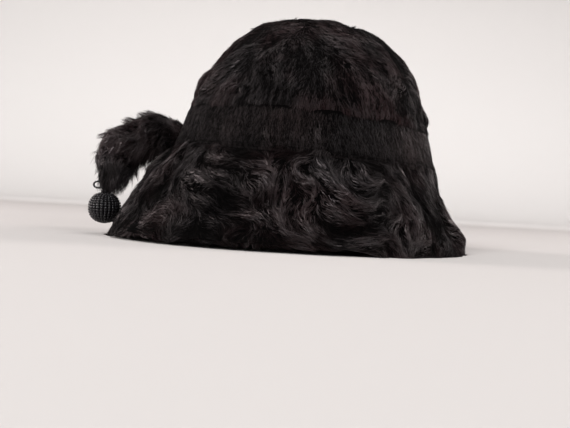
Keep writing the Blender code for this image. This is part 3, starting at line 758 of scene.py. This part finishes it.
def brimGrid(azimuth, down):
    # the flaring cone below the band: radius goes from neck to rim by brimFlare, less the pile at the top
    low, lift = bandLow(azimuth) - hat["seamGap"], rimLift(azimuth)
    full = neckRadius(azimuth, bandLow(azimuth)) + hat["brimPile"]
    pileMissing = hat["brimPile"] * (1 - smoothStep(down / hat["pileRise"]))
    radius = full + (rimRadius(azimuth) - full) * brimFlare(azimuth, down) - pileMissing
    return ringPoints(azimuth, radius, lift + (low - lift) * (1 - down))


def brimInside(azimuth, share):
    # the lining's cone, a wall's thickness within
    low, lift = bandLow(azimuth), rimLift(azimuth)
    start = crownRadius(azimuth, low) - hat["brimInset"]
    radius = start + (rimRadius(azimuth) - hat["rimWall"] - start) * brimFlare(azimuth, share)
    return ringPoints(azimuth, radius, lift + (low - lift) * (1 - share))


def makeBrim(style):
    azimuth = evenTurn(style["columns"])
    down = np.linspace(0.0, 1.0, style["rows"])[:, None]
    calm = smoothStep((down - style["calmStart"]) / style["calmReach"])
    besideTail = nearTail(azimuth, style["tailReach"]) * (down < style["tailDown"])
    calm = calm * (1 - style["tailCalm"] * besideTail)
    aboveRim = smoothStep((1 - down) / style["rimReach"])
    calm = calm * (style["rimRelief"] + (1 - style["rimRelief"]) * aboveRim)
    coat = furCoat(brimGrid(azimuth, down), azimuth, style, calm)
    columns = azimuth[::2]
    low, seam = bandLow(columns), seamHeight(columns)
    neck = [ringPoints(columns, neckRadius(columns, level), level) for level in (seam, (seam + low) / 2, low)]
    outer = [*coat["points"][::2, ::2], coat["points"][-1, ::2]]
    inner = [brimInside(columns, share) for share in np.linspace(1.0, 0.0, style["insideRings"])]
    lip = ringPoints(columns, crownRadius(columns, seam, hat["crownWall"]), seam)
    shell = loopedShell("brimShell", [*neck, *outer, *inner, lip], peltSkin, lining=satinLining,
                        liningFrom=len(neck) + len(outer) - 1)
    settle(shell, "curly_fur", "brim")
    # here and there the topmost hair climbs over the band's lower edge
    over = smoothStep((coat["lock"] - style["climbFrom"]) / style["climbOver"])
    over = over * np.exp(-down / style["seamReach"])
    coat["points"] = coat["points"] + coat["normal"] * (style["overSeam"] * over)[..., None]
    coat["points"][..., 2] += style["seamClimb"] * over
    frontShare = smoothStep((style["frontEdge"] - np.sin(azimuth)) / style["frontEase"])
    frontShare = np.broadcast_to(frontShare, coat["areas"].shape)
    for side, keep in (("Front", frontShare), ("Back", 1 - frontShare)):
        count = int(style[side.lower() + "Strands"] * strandShare)
        fur = growFur("brimFur" + side, coat, style, style[side.lower() + "Seed"], count, curlyHair, keep)
        settle(fur, "curly_fur")


makeBrim(brimStyle)
print("brim: shell and fur made")

# Crown: flatter fur with broad moire waves

crownStyle = {
    "columns": 560, "rows": 190, "seed": 31, "steps": 2, "strands": 65000, "strandSeed": 81,
    "sway": 0.8, "smallSway": 0.5, "swaySize": 18 * mm, "lean": 0.05,
    "whorl": (-6 * mm, 30 * mm), "whorlTurn": 0.9, "whorlReach": 16 * mm, "whorlPull": 0.86,
    "whorlMore": 4, "whorlCore": 6 * mm, "firstRing": 0.004,
    "tuck": 2 * mm, "keepBelow": 1 * mm, "keepEase": 2 * mm,
    "grooveFill": 1.8 * mm, "grooveTop": 12 * mm, "grooveEase": 7 * mm, "grooveFoot": 3 * mm,
    "grooveFootEase": 4 * mm, "calmReach": 9 * mm, "flatHeight": 152 * mm, "flatEase": 22 * mm,
    "flatRelief": 0.35, "overBand": 2.6 * mm, "overReach": 3.5 * mm, "climbFrom": -1.8, "climbOver": 1.6,
    "lockSize": 10 * mm, "lockLength": 9 * mm, "lockRise": 1.5 * mm,
    "tuftSize": 1.8 * mm, "tuftLength": 6 * mm, "tuftRise": 0.15 * mm,
    "length": 6.5 * mm, "lift": 0.7 * mm, "tuftLift": 0.2 * mm, "width": 0.27 * mm,
    "stray": 0.18, "wildShare": 0.05, "wildLift": 1.3 * mm, "roll": 0.7, "softness": 20, "edgeShade": 0.1,
    "gather": 0.8 * mm, "crestSpan": 6 * mm, "overhang": 2.0, "droop": 0.0,
    "levels": (0.38, 0.68), "levelNoise": 0.05,
    "clump": 0.12, "clumpCells": (4, 5), "spikeShare": 0.02, "spikeLift": 1.8 * mm, "spikeLean": 0.4,
    # azimuth, height mm, size mm, amount: painted highlight patches where the amount is positive, painted
    # shade where it is negative
    "patches": ((256, 137, 22, 0.2), (277, 130, 16, 0.1), (229, 108, 16, 0.3), (228, 125, 14, 0.3),
                (249, 112, 15, -0.25), (271, 109, 19, -0.25), (264, 121, 13, -0.2), (287, 102, 18, -0.2),
                (314, 106, 13, 0.6), (327, 108, 7, -0.3), (306, 118, 9, 0.3), (297, 131, 8, 0.35),
                (334, 145, 10, -0.3), (261.5, 100.5, 9, 0.5), (267, 97, 6, 0.4), (255, 99, 9, -0.3),
                (240.5, 98, 7, 0.3)),
    # azimuth, height mm, heading, length mm, bend, width mm, rise mm
    "curls": (
        (288, 127, -20, 33, 25, 9, 2), (310, 123, -55, 25, -80, 9, 1.8),
        (312.5, 107, 30, 36, -85, 10, 1.8), (262.5, 101, 75, 17, -60, 8, 1.8),
        (241, 98, 80, 14, -5, 9, 1.6), (220, 123, 45, 28, -50, 10, 1.6),
        (220.5, 108, 30, 37, 55, 10, 1.6), (250, 144, 20, 29, -55, 9, 1.4),
        (276, 106, -75, 24, -45, 8, 1.7), (321.5, 99, -85, 24, -95, 9, 1.8),
        (255.5, 110, -65, 28, -95, 9, 1.6), (350, 147, -30, 24, 0, 13, -2.4),
        (352, 135, -60, 20, 0, 11, 1.6),
    ),
}


def crownGrid(style, azimuth, foot):
    # rows evenly spaced along the front's outline, from near the top to the foot. The grid's pole is drawn
    # back to the whorl, and there the height follows from the new place in plan
    front = 1.5 * math.pi
    frontFoot = float(bandTop(np.array(front)) - style["tuck"])
    shares = np.linspace(0, 1, 600) ** 3  # closer together on the flat top
    height = hat["crownTop"] - (hat["crownTop"] - frontFoot) * shares
    outline = np.stack([crownRadius(front, height), height], axis=-1)
    length = np.concatenate([[0.0], np.cumsum(np.linalg.norm(np.diff(outline, axis=0), axis=1))])
    places = np.linspace(style["firstRing"], 1.0, style["rows"]) * length[-1]
    down = np.interp(places, length, shares)[:, None]
    height = hat["crownTop"] - (hat["crownTop"] - foot) * down
    groove = smoothStep((bandTop(azimuth) + style["grooveTop"] - height) / style["grooveEase"])
    groove = groove * smoothStep((height - bandTop(azimuth) + style["grooveFoot"]) / style["grooveFootEase"])
    radius = crownRadius(azimuth, height)
    drawn = smoothStep((style["whorlPull"] - radius / footRadius(azimuth)) / style["whorlPull"])
    planX = radius * np.cos(azimuth) + style["whorl"][0] * drawn
    planY = radius * np.sin(azimuth) + style["whorl"][1] * drawn
    turned, reach = np.arctan2(planY, planX), np.hypot(planX, planY)
    height = np.where(drawn > 0, crownHeight(turned, reach), height)
    return turned, height, ringPoints(turned, reach + style["grooveFill"] * groove, height)


def crownInside(columns, seam):
    # the lining's dome, a wall's thickness within, from the seam up
    top = hat["crownTop"] - hat["crownWall"]
    levels = [top - (top - seam) * share for share in np.sin(np.linspace(0.5 * math.pi, 0.03, 16)) ** 2]
    rings = [ringPoints(columns, crownRadius(columns, level, hat["crownWall"]), level) for level in levels]
    return top, rings


def makeCrown(style):
    azimuth = evenTurn(style["columns"])
    foot = bandTop(azimuth) - style["tuck"]
    turned, height, points = crownGrid(style, azimuth, foot)
    belowTop = smoothStep((style["flatHeight"] - height) / style["flatEase"])
    calm = smoothStep((height - bandTop(azimuth)) / style["calmReach"])
    calm = calm * (style["flatRelief"] + (1 - style["flatRelief"]) * belowTop)
    fromWhorl = np.linalg.norm(points[..., :2] - np.array(style["whorl"]), axis=-1)
    swirl = style["lean"] + style["whorlTurn"] * np.exp(-fromWhorl / style["whorlReach"])
    coat = furCoat(points, turned, {**style, "lean": swirl}, calm)
    columns = azimuth[::2]
    seam = seamHeight(columns) + hat["seamGap"]
    under = [ringPoints(columns, crownRadius(columns, level), level)
             for level in ((foot[::2] + seam) / 2, seam)]
    top, inner = crownInside(columns, seam)
    whorlAzimuth, whorlOut = math.atan2(*style["whorl"][::-1]), math.hypot(*style["whorl"])
    pole = [[*style["whorl"], float(crownHeight(whorlAzimuth, whorlOut))]]
    shell = loopedShell("crownShell", [*coat["points"][::2, ::2], *under, *inner], peltSkin,
                        ends=(pole, [[0, 0, top]]), lining=satinLining,
                        liningFrom=(style["rows"] + 1) // 2 + len(under))
    settle(shell, "curly_fur", "crown")
    # in most places the lowest hair lies over the band's top edge
    over = smoothStep((bandTop(azimuth) + style["overReach"] - height) / style["overReach"])
    over = over * smoothStep((coat["lock"] - style["climbFrom"]) / style["climbOver"])
    coat["points"] = coat["points"] + coat["normal"] * (style["overBand"] * over)[..., None]
    keep = smoothStep((height - bandTop(azimuth) + style["keepBelow"]) / style["keepEase"])
    keep = keep * (1 + style["whorlMore"] * np.exp(-(fromWhorl / style["whorlCore"]) ** 2))
    count = int(style["strands"] * strandShare)
    settle(growFur("crownFur", coat, style, style["strandSeed"], count, flatHair, keep), "curly_fur")


makeCrown(crownStyle)
print("crown: shell and fur made")

# Band: short smooth fur, its grain straight down

bandStyle = {
    "columns": 600, "rows": 44, "seed": 51, "steps": 2, "strands": 45000, "strandSeed": 101,
    "sway": 0.35, "smallSway": 0.2, "swaySize": 16 * mm, "lean": 0.12,
    "lockSize": 14 * mm, "lockLength": 8 * mm, "lockRise": 0.25 * mm,
    "tuftSize": 1.5 * mm, "tuftLength": 8 * mm, "tuftRise": 0.08 * mm,
    "length": 6 * mm, "lift": 0.55 * mm, "tuftLift": 0.1 * mm, "width": 0.22 * mm,
    "stray": 0.12, "wildShare": 0.03, "wildLift": 0.9 * mm, "roll": 0.7, "softness": 8, "edgeShade": 0.3,
    "edgeRows": 0.1, "firstTurn": 0.08, "edgeRadius": 2 * mm, "lowRows": 0.1, "lowDraw": 1.5 * mm,
    "calmReach": 0.15,
    "gather": 0.4 * mm, "crestSpan": 2 * mm, "overhang": 10.0, "droop": 0.0,
    "levels": (0.12, 0.9), "levelNoise": 0.04,
    "clump": 0.08, "clumpCells": (5, 4), "spikeShare": 0.0, "spikeLift": 0.0, "spikeLean": 0.0,
    # azimuth, height mm, size mm, amount: painted highlights, on two tufts, the band's right side and a light
    # line along its top edge
    "patches": ((256, 66.5, 9, 1.0), (273.5, 70.5, 10, 1.1), (312, 72, 30, 0.35), (335, 72, 40, 0.5),
                (256, 89, 5, 1.2), (259, 89, 5, 1.4), (262, 89, 5, 1.4), (265, 89, 5, 1.2)),
    # azimuth, height mm, heading, length mm, bend, width mm, rise mm
    "curls": ((256.0, 66.5, -60, 9, 40, 5, 1.2), (273.5, 70.5, -75, 10, -40, 5, 1.3)),
}


def bandGrid(style, azimuth, share):
    # the neck's radius plus a thickness that grows downwards. The first rows turn a quarter round over the
    # top edge, and the last ones draw in a little
    top, low = bandTop(azimuth), bandLow(azimuth)
    growth = hat["bandLowThickness"] - hat["bandTopThickness"]
    thickness = hat["bandTopThickness"] + growth * smoothStep(share)
    upperTurn = 0.5 * math.pi * (1 - np.clip(share / style["edgeRows"], style["firstTurn"], 1))
    face = np.clip((share - style["edgeRows"]) / (1 - style["edgeRows"]), 0, 1)
    height = top - style["edgeRadius"] * (1 - np.sin(upperTurn)) + (low - top + style["edgeRadius"]) * face
    drawnIn = hat["bandTopThickness"] * (1 - np.cos(upperTurn))
    drawnIn = drawnIn + style["lowDraw"] * np.clip(1 - (1 - share) / style["lowRows"], 0, 1) ** 2
    return ringPoints(azimuth, neckRadius(azimuth, height) + hat["bandGap"] + thickness - drawnIn, height)


def makeBand(style):
    # a strip over the seam, closed behind along the neck
    azimuth = evenTurn(style["columns"])
    share = np.linspace(0, 1, style["rows"])[:, None]
    calm = smoothStep(np.minimum(share, 1 - share) / style["calmReach"]) * np.ones_like(azimuth)
    coat = furCoat(bandGrid(style, azimuth, share), azimuth, style, calm)
    columns = azimuth[::2]
    top, low = bandTop(columns), bandLow(columns)
    levels = (low, low * 0.75 + top * 0.25, (low + top) / 2, low * 0.25 + top * 0.75, top)
    inner = [ringPoints(columns, neckRadius(columns, level) + hat["bandGap"], level) for level in levels]
    shell = loopedShell("bandShell", [*coat["points"][::2, ::2], coat["points"][-1, ::2], *inner], peltSkin)
    settle(shell, "smooth_fur", "band")
    count = int(style["strands"] * strandShare)
    settle(growFur("bandFur", coat, style, style["strandSeed"], count, smoothHair), "smooth_fur")


makeBand(bandStyle)
print("band: shell and fur made")

# Tail: a stuffed roll of curly fur

tailStyle = {
    "columns": 96, "rows": 120, "seed": 71, "steps": 3, "strands": 15500, "strandSeed": 121,
    "sway": 1.3, "smallSway": 0.8, "swaySize": 11 * mm, "lean": 0.3,
    "lockSize": 7 * mm, "lockLength": 9 * mm, "lockRise": 1.3 * mm,
    "tuftSize": 2 * mm, "tuftLength": 6 * mm, "tuftRise": 0.35 * mm,
    "length": 5.5 * mm, "lift": 1.5 * mm, "tuftLift": 0.4 * mm, "width": 0.24 * mm,
    "stray": 0.30, "wildShare": 0.2, "wildLift": 2.4 * mm, "roll": 0.9, "softness": 4, "edgeShade": 0.0,
    "gather": 0.8 * mm, "crestSpan": 4 * mm, "overhang": 3.0, "droop": 8 * mm,
    "levels": (0.26, 0.54), "levelNoise": 0.12, "patches": (), "curls": (),
    "clump": 0.2, "clumpCells": (6, 4), "spikeShare": 0.14, "spikeLift": 4.5 * mm, "spikeLean": 0.55,
    "rootDepth": 9 * mm, "rootPower": 6, "depthShare": 0.9, "calmRows": (10, 12),
    "locks": 5, "lockTwist": math.radians(456), "ridge": 0.8 * mm, "ridgeFrom": 9 * mm, "ridgeOver": 3 * mm,
    "rootCap": 1 * mm, "tipCap": 0.6 * mm,
    # out from the crown's axis, height, half thickness, all mm
    "sections": ((94.5, 69.5, 9.5), (104, 71.0, 11.6), (116, 69.2, 13.4), (125.5, 64.0, 13.2),
                 (131.5, 54.0, 12.2), (135.6, 45.5, 10.8), (138.8, 38.5, 8.0), (139.8, 35.4, 3.4)),
}


def curvedRows(rows, count):
    # a Catmull-Rom curve through the rows of a table
    table = np.array(rows, float)
    padded = np.vstack([2 * table[0] - table[1], table, 2 * table[-1] - table[-2]])
    place = np.linspace(0.0, len(table) - 1.0, count)
    index = np.minimum(place.astype(int), len(table) - 2)
    part = (place - index)[:, None]
    before, here, there, after = (padded[index + step] for step in range(4))
    bend = 2 * before - 5 * here + 4 * there - after
    twist = 3 * (here - there) + after - before
    return here + 0.5 * part * (there - before + part * (bend + part * twist))


def makeTail(style):
    # circles carried along the arch, with lobes that wind round it
    path = curvedRows(style["sections"], style["rows"]) * mm
    path[:, 0] -= style["rootDepth"] * np.linspace(1, 0, style["rows"]) ** style["rootPower"]
    ahead = np.gradient(path[:, :2], axis=0)
    ahead /= np.linalg.norm(ahead, axis=1, keepdims=True)
    around = evenTurn(style["columns"])
    depth = math.sin(hat["tailAzimuth"]) * path[0, 0]
    wind = style["lockTwist"] * np.linspace(0, 1, style["rows"])[:, None]
    lobes = style["ridge"] * np.cos(style["locks"] * around + wind)
    half = path[:, 2:3] + lobes * smoothStep((path[:, 2:3] - style["ridgeFrom"]) / style["ridgeOver"])
    out = -(path[:, :1] - half * np.cos(around) * ahead[:, 1:])
    height = path[:, 1:2] + half * np.cos(around) * ahead[:, :1]
    across = depth - half * style["depthShare"] * np.sin(around)
    row = np.arange(style["rows"])[:, None]
    calmRoot, calmTip = style["calmRows"]
    calm = smoothStep(row / calmRoot) * smoothStep((style["rows"] - row) / calmTip)
    coat = furCoat(np.stack([out, across, height], axis=-1), around, style, calm)
    root = [[-path[0, 0] + style["rootCap"], depth, path[0, 1]]]
    tip = [[-path[-1, 0], depth, path[-1, 1] - style["tipCap"]]]
    roll = loopedShell("tailRoll", coat["points"], peltSkin, ends=(root, tip))
    settle(roll, "curly_fur", "tail")
    count = int(style["strands"] * strandShare)
    settle(growFur("tailFur", coat, style, style["strandSeed"], count, curlyHair), "curly_fur")


makeTail(tailStyle)
print("tail: roll and fur made")

# Beads

beadStyle = {
    "sides": 8, "barrel": ((0.97, 0.74), (0.72, 0.97), (-0.72, 0.97), (-0.97, 0.74)),  # level, reach
    "columns": 24, "rows": 19, "fill": 0.86, "inset": 0.25 * mm, "sink": 0.15 * mm, "jitter": 0.06 * mm,
    "leastWidth": 0.35 * mm, "mostHeight": 1.05 * mm, "overlap": 1.02, "seed": 5,
    "coreInset": 0.3 * mm, "coreSides": 32, "coreRows": 18,
    # the stalk's rings: above the ball, beads in the ring, its radius
    "rings": ((0.5 * mm, 8, 2.2 * mm), (2.0 * mm, 6, 1.6 * mm),
              (3.5 * mm, 6, 1.5 * mm), (5.0 * mm, 7, 1.8 * mm)),
    "stalkSink": 0.2 * mm, "ringBead": 0.95 * mm, "ringTurn": 900,  # radians a metre
    "loopBeads": 11, "loopBead": 0.75 * mm, "loopLength": 0.95, "loopReach": (3.0 * mm, 2.3 * mm),
    "loopMiddle": (-5.2 * mm, -1.5 * mm, 34.6 * mm), "loopShare": 0.86, "loopStart": 0.6,
}


def beadMesh(name, centres, axes, material, style):
    # one rounded barrel per centre, stretched along three axes given as half sizes times directions
    level, reach = np.array(style["barrel"]).T
    side = evenTurn(style["sides"])
    ring = np.stack([reach[:, None] * np.cos(side), reach[:, None] * np.sin(side),
                     level[:, None] * np.ones_like(side)], axis=-1).reshape(-1, 3)
    unit = np.vstack([ring, [[0, 0, 1]], [[0, 0, -1]]])
    sizes, corners = ringFaces(len(level), style["sides"], 2)
    points = centres[:, None, :] + np.einsum("pk,nkx->npx", unit, axes)
    corners = (corners + len(unit) * np.arange(len(centres))[:, None]).ravel()
    return meshObject(name, points.reshape(-1, 3), np.tile(sizes, len(centres)), corners, material)


def makeBall(style):
    # beads threaded from pole to pole, side by side all round
    radius = hat["ballRadius"] - style["inset"]
    polar = (np.arange(style["rows"]) + 0.5) / style["rows"] * math.pi
    polar, side = [part.ravel() for part in np.meshgrid(polar, evenTurn(style["columns"]), indexing="ij")]
    outward = np.stack([np.sin(polar) * np.cos(side), np.sin(polar) * np.sin(side), np.cos(polar)], axis=-1)
    around = np.stack([-np.sin(side), np.cos(side), 0 * side], axis=-1)
    along = np.cross(around, outward)
    halfWidth = np.maximum(math.pi * radius / style["columns"] * np.sin(polar), style["leastWidth"])
    halfWidth = halfWidth * style["overlap"]
    halfLength = math.pi * radius / style["rows"] / 2 * style["fill"]
    jitter = np.random.default_rng(style["seed"]).normal(0, style["jitter"], (len(polar), 1))
    centres = ballSeat + outward * (radius - style["sink"] + jitter)
    halfHeight = np.minimum(halfWidth, style["mostHeight"])
    axes = np.stack([around * halfWidth[:, None], outward * halfHeight[:, None], along * halfLength], axis=1)
    settle(beadMesh("ballBeads", centres, axes, jetBead, style), "jet_beads", "beaded_ball")
    core, turn = radius - style["coreInset"], evenTurn(style["coreSides"])
    rings = [ringPoints(turn, core * math.sin(angle), core * math.cos(angle))
             for angle in np.linspace(0, math.pi, style["coreRows"])[1:-1]]
    ends = ([ballSeat + [0, 0, core]], [ballSeat - [0, 0, core]])
    settle(loopedShell("ballCore", np.array(rings) + ballSeat, blackThread, ends=ends), "jet_beads")


def makeStalk(style):
    # rings of small beads round the thread between the tail's tip and the ball
    low = hat["ballHeight"] + hat["ballRadius"] - style["stalkSink"]
    centres = []
    for above, count, reach in style["rings"]:
        level = low + above
        side = evenTurn(count) + level * style["ringTurn"]
        centres.append(np.stack([reach * np.cos(side), reach * np.sin(side), 0 * side + level], axis=-1))
    centres = np.vstack(centres) + [ballSeat[0], ballSeat[1], 0]
    axes = np.eye(3)[None] * np.full(len(centres), style["ringBead"])[:, None, None]
    settle(beadMesh("stalkBeads", centres, axes, jetBead, style), "jet_beads", "bead_stalk")


def makeBeadLoop(style):
    # a slack loop of the smallest beads beside the stalk, under the tail's tip
    turn = np.linspace(0, 1, style["loopBeads"]) * fullTurn * style["loopShare"] + style["loopStart"]
    reachOut, reachUp = style["loopReach"]
    outward, across, level = style["loopMiddle"]
    centres = np.stack([ballSeat[0] + outward + reachOut * np.cos(turn), 0 * turn + ballSeat[1] + across,
                        level + reachUp * np.sin(turn)], axis=-1)
    ahead = np.gradient(centres, axis=0)
    ahead /= np.linalg.norm(ahead, axis=1, keepdims=True)
    side = np.cross(ahead, [0.0, 1.0, 0.0])
    axes = np.stack([side * style["loopBead"], np.cross(ahead, side) * style["loopBead"],
                     ahead * style["loopBead"] * style["loopLength"]], axis=1)
    settle(beadMesh("beadLoop", centres, axes, jetBead, style), "jet_beads")


makeBall(beadStyle)
makeStalk(beadStyle)
makeBeadLoop(beadStyle)
print("beads made")

# Studio: one pale sweep of floor and backdrop, soft lights and the camera

studio = {
    "sweepColour": (0.572, 0.558, 0.549), "roomColour": (1.0, 0.985, 0.97), "roomLight": 0.05,
    "sweepSides": 96, "floorRadius": 1.8, "bendRadius": 0.6, "wallTop": 2.6,
    "cameraDistance": 702 * mm, "cameraHeight": 33 * mm, "axisRight": 11 * mm,
    "lens": 975 / 570 * 36, "roll": math.radians(3.1), "pitch": math.atan(17 / 975),
    # place, what it points at, width and height, watts, colour, spread in degrees
    "lights": {
        "keyAbove": ((-0.95, -1.5, 1.5), (0, 0, 0.08), (0.66, 0.66), 26, (1, 1, 1), 180),
        "fillRight": ((1.35, -1.35, 0.9), (0, 0, 0.08), (0.5, 0.5), 11, (1, 1, 1), 180),
        "edgeLeft": ((-1.7, 0.35, 0.8), (0, 0, 0.08), (0.6, 0.6), 18, (1, 0.9, 0.88), 180),
        "edgeRight": ((1.65, 0.5, 0.85), (0, 0, 0.08), (0.6, 0.6), 17, (1, 0.92, 0.9), 180),
        "lampLeft": ((-0.45, -1.15, 0.95), (0, 0, 0.08), (0.07, 0.07), 1.2, (1, 1, 1), 180),
        "lampRight": ((0.6, -1.15, 0.8), (0, 0, 0.08), (0.07, 0.07), 0.8, (1, 1, 1), 180),
        "wallWash": ((0, 0.6, 0.6), (0, 2.4, 0.1), (2.4, 0.3), 9, (1, 1, 1), 80),
        "topPanel": ((0, 0.35, 1.7), (0, 0, 0.1), (1.2, 0.8), 10, (1, 0.94, 0.92), 180),
    },
}


def makeSweep():
    # a round floor that curves up into a wall: the profile's radius and height turned about the middle
    out, rise, sides = studio["floorRadius"], studio["bendRadius"], studio["sweepSides"]
    bend = np.linspace(0, math.pi / 2, 24)[1:]
    radius = np.concatenate([np.linspace(0.05, out, 20), out + rise * np.sin(bend), [out + rise]])
    height = np.concatenate([np.zeros(20), rise * (1 - np.cos(bend)), [studio["wallTop"]]])
    turn = evenTurn(sides)
    points = np.stack([radius[:, None] * np.cos(turn), radius[:, None] * np.sin(turn),
                       height[:, None] * np.ones_like(turn)], axis=-1).reshape(-1, 3)
    made, tree, shader = newMaterial("paleSweep")
    feed(tree, shader, {"Base Color": (*studio["sweepColour"], 1), "Roughness": 0.9, "Specular IOR Level": 0})
    sizes, corners = ringFaces(len(radius), sides, 1)
    meshObject("studioSweep", np.vstack([points, [[0, 0, 0]]]), sizes, corners, made)


def addLight(name, place, target, size, power, colour, spread):
    light = bpy.data.lights.new(name, "AREA")
    light.shape = "RECTANGLE"
    light.size, light.size_y = size
    light.energy = power
    light.color = colour
    light.spread = math.radians(spread)
    holder = bpy.data.objects.new(name, light)
    holder.location = place
    holder.rotation_euler = (Vector(target) - Vector(place)).to_track_quat("-Z", "Y").to_euler()
    holder.visible_camera = False
    bpy.context.scene.collection.objects.link(holder)


def addCamera():
    camera = bpy.data.cameras.new("photoCamera")
    camera.lens = studio["lens"]
    camera.sensor_width = 36
    camera.clip_start = 0.01
    holder = bpy.data.objects.new("photoCamera", camera)
    holder.location = (hatShift[0] - studio["axisRight"], hatShift[1] - studio["cameraDistance"],
                       studio["cameraHeight"])
    tilt = Euler((math.pi / 2 - studio["pitch"], 0, 0)).to_matrix()
    holder.rotation_euler = (tilt @ Euler((0, 0, studio["roll"])).to_matrix()).to_euler()
    bpy.context.scene.collection.objects.link(holder)
    bpy.context.scene.camera = holder


def addRoom():
    world = bpy.data.worlds.new("softRoom")
    world.use_nodes = True
    feed(world.node_tree, world.node_tree.nodes["Background"],
         {"Color": (*studio["roomColour"], 1), "Strength": studio["roomLight"]})
    bpy.context.scene.world = world
    bpy.context.scene.view_settings.view_transform = "Standard"


makeSweep()
for lightName, light in studio["lights"].items():
    addLight(lightName, *light)
addRoom()
addCamera()
print("studio made")
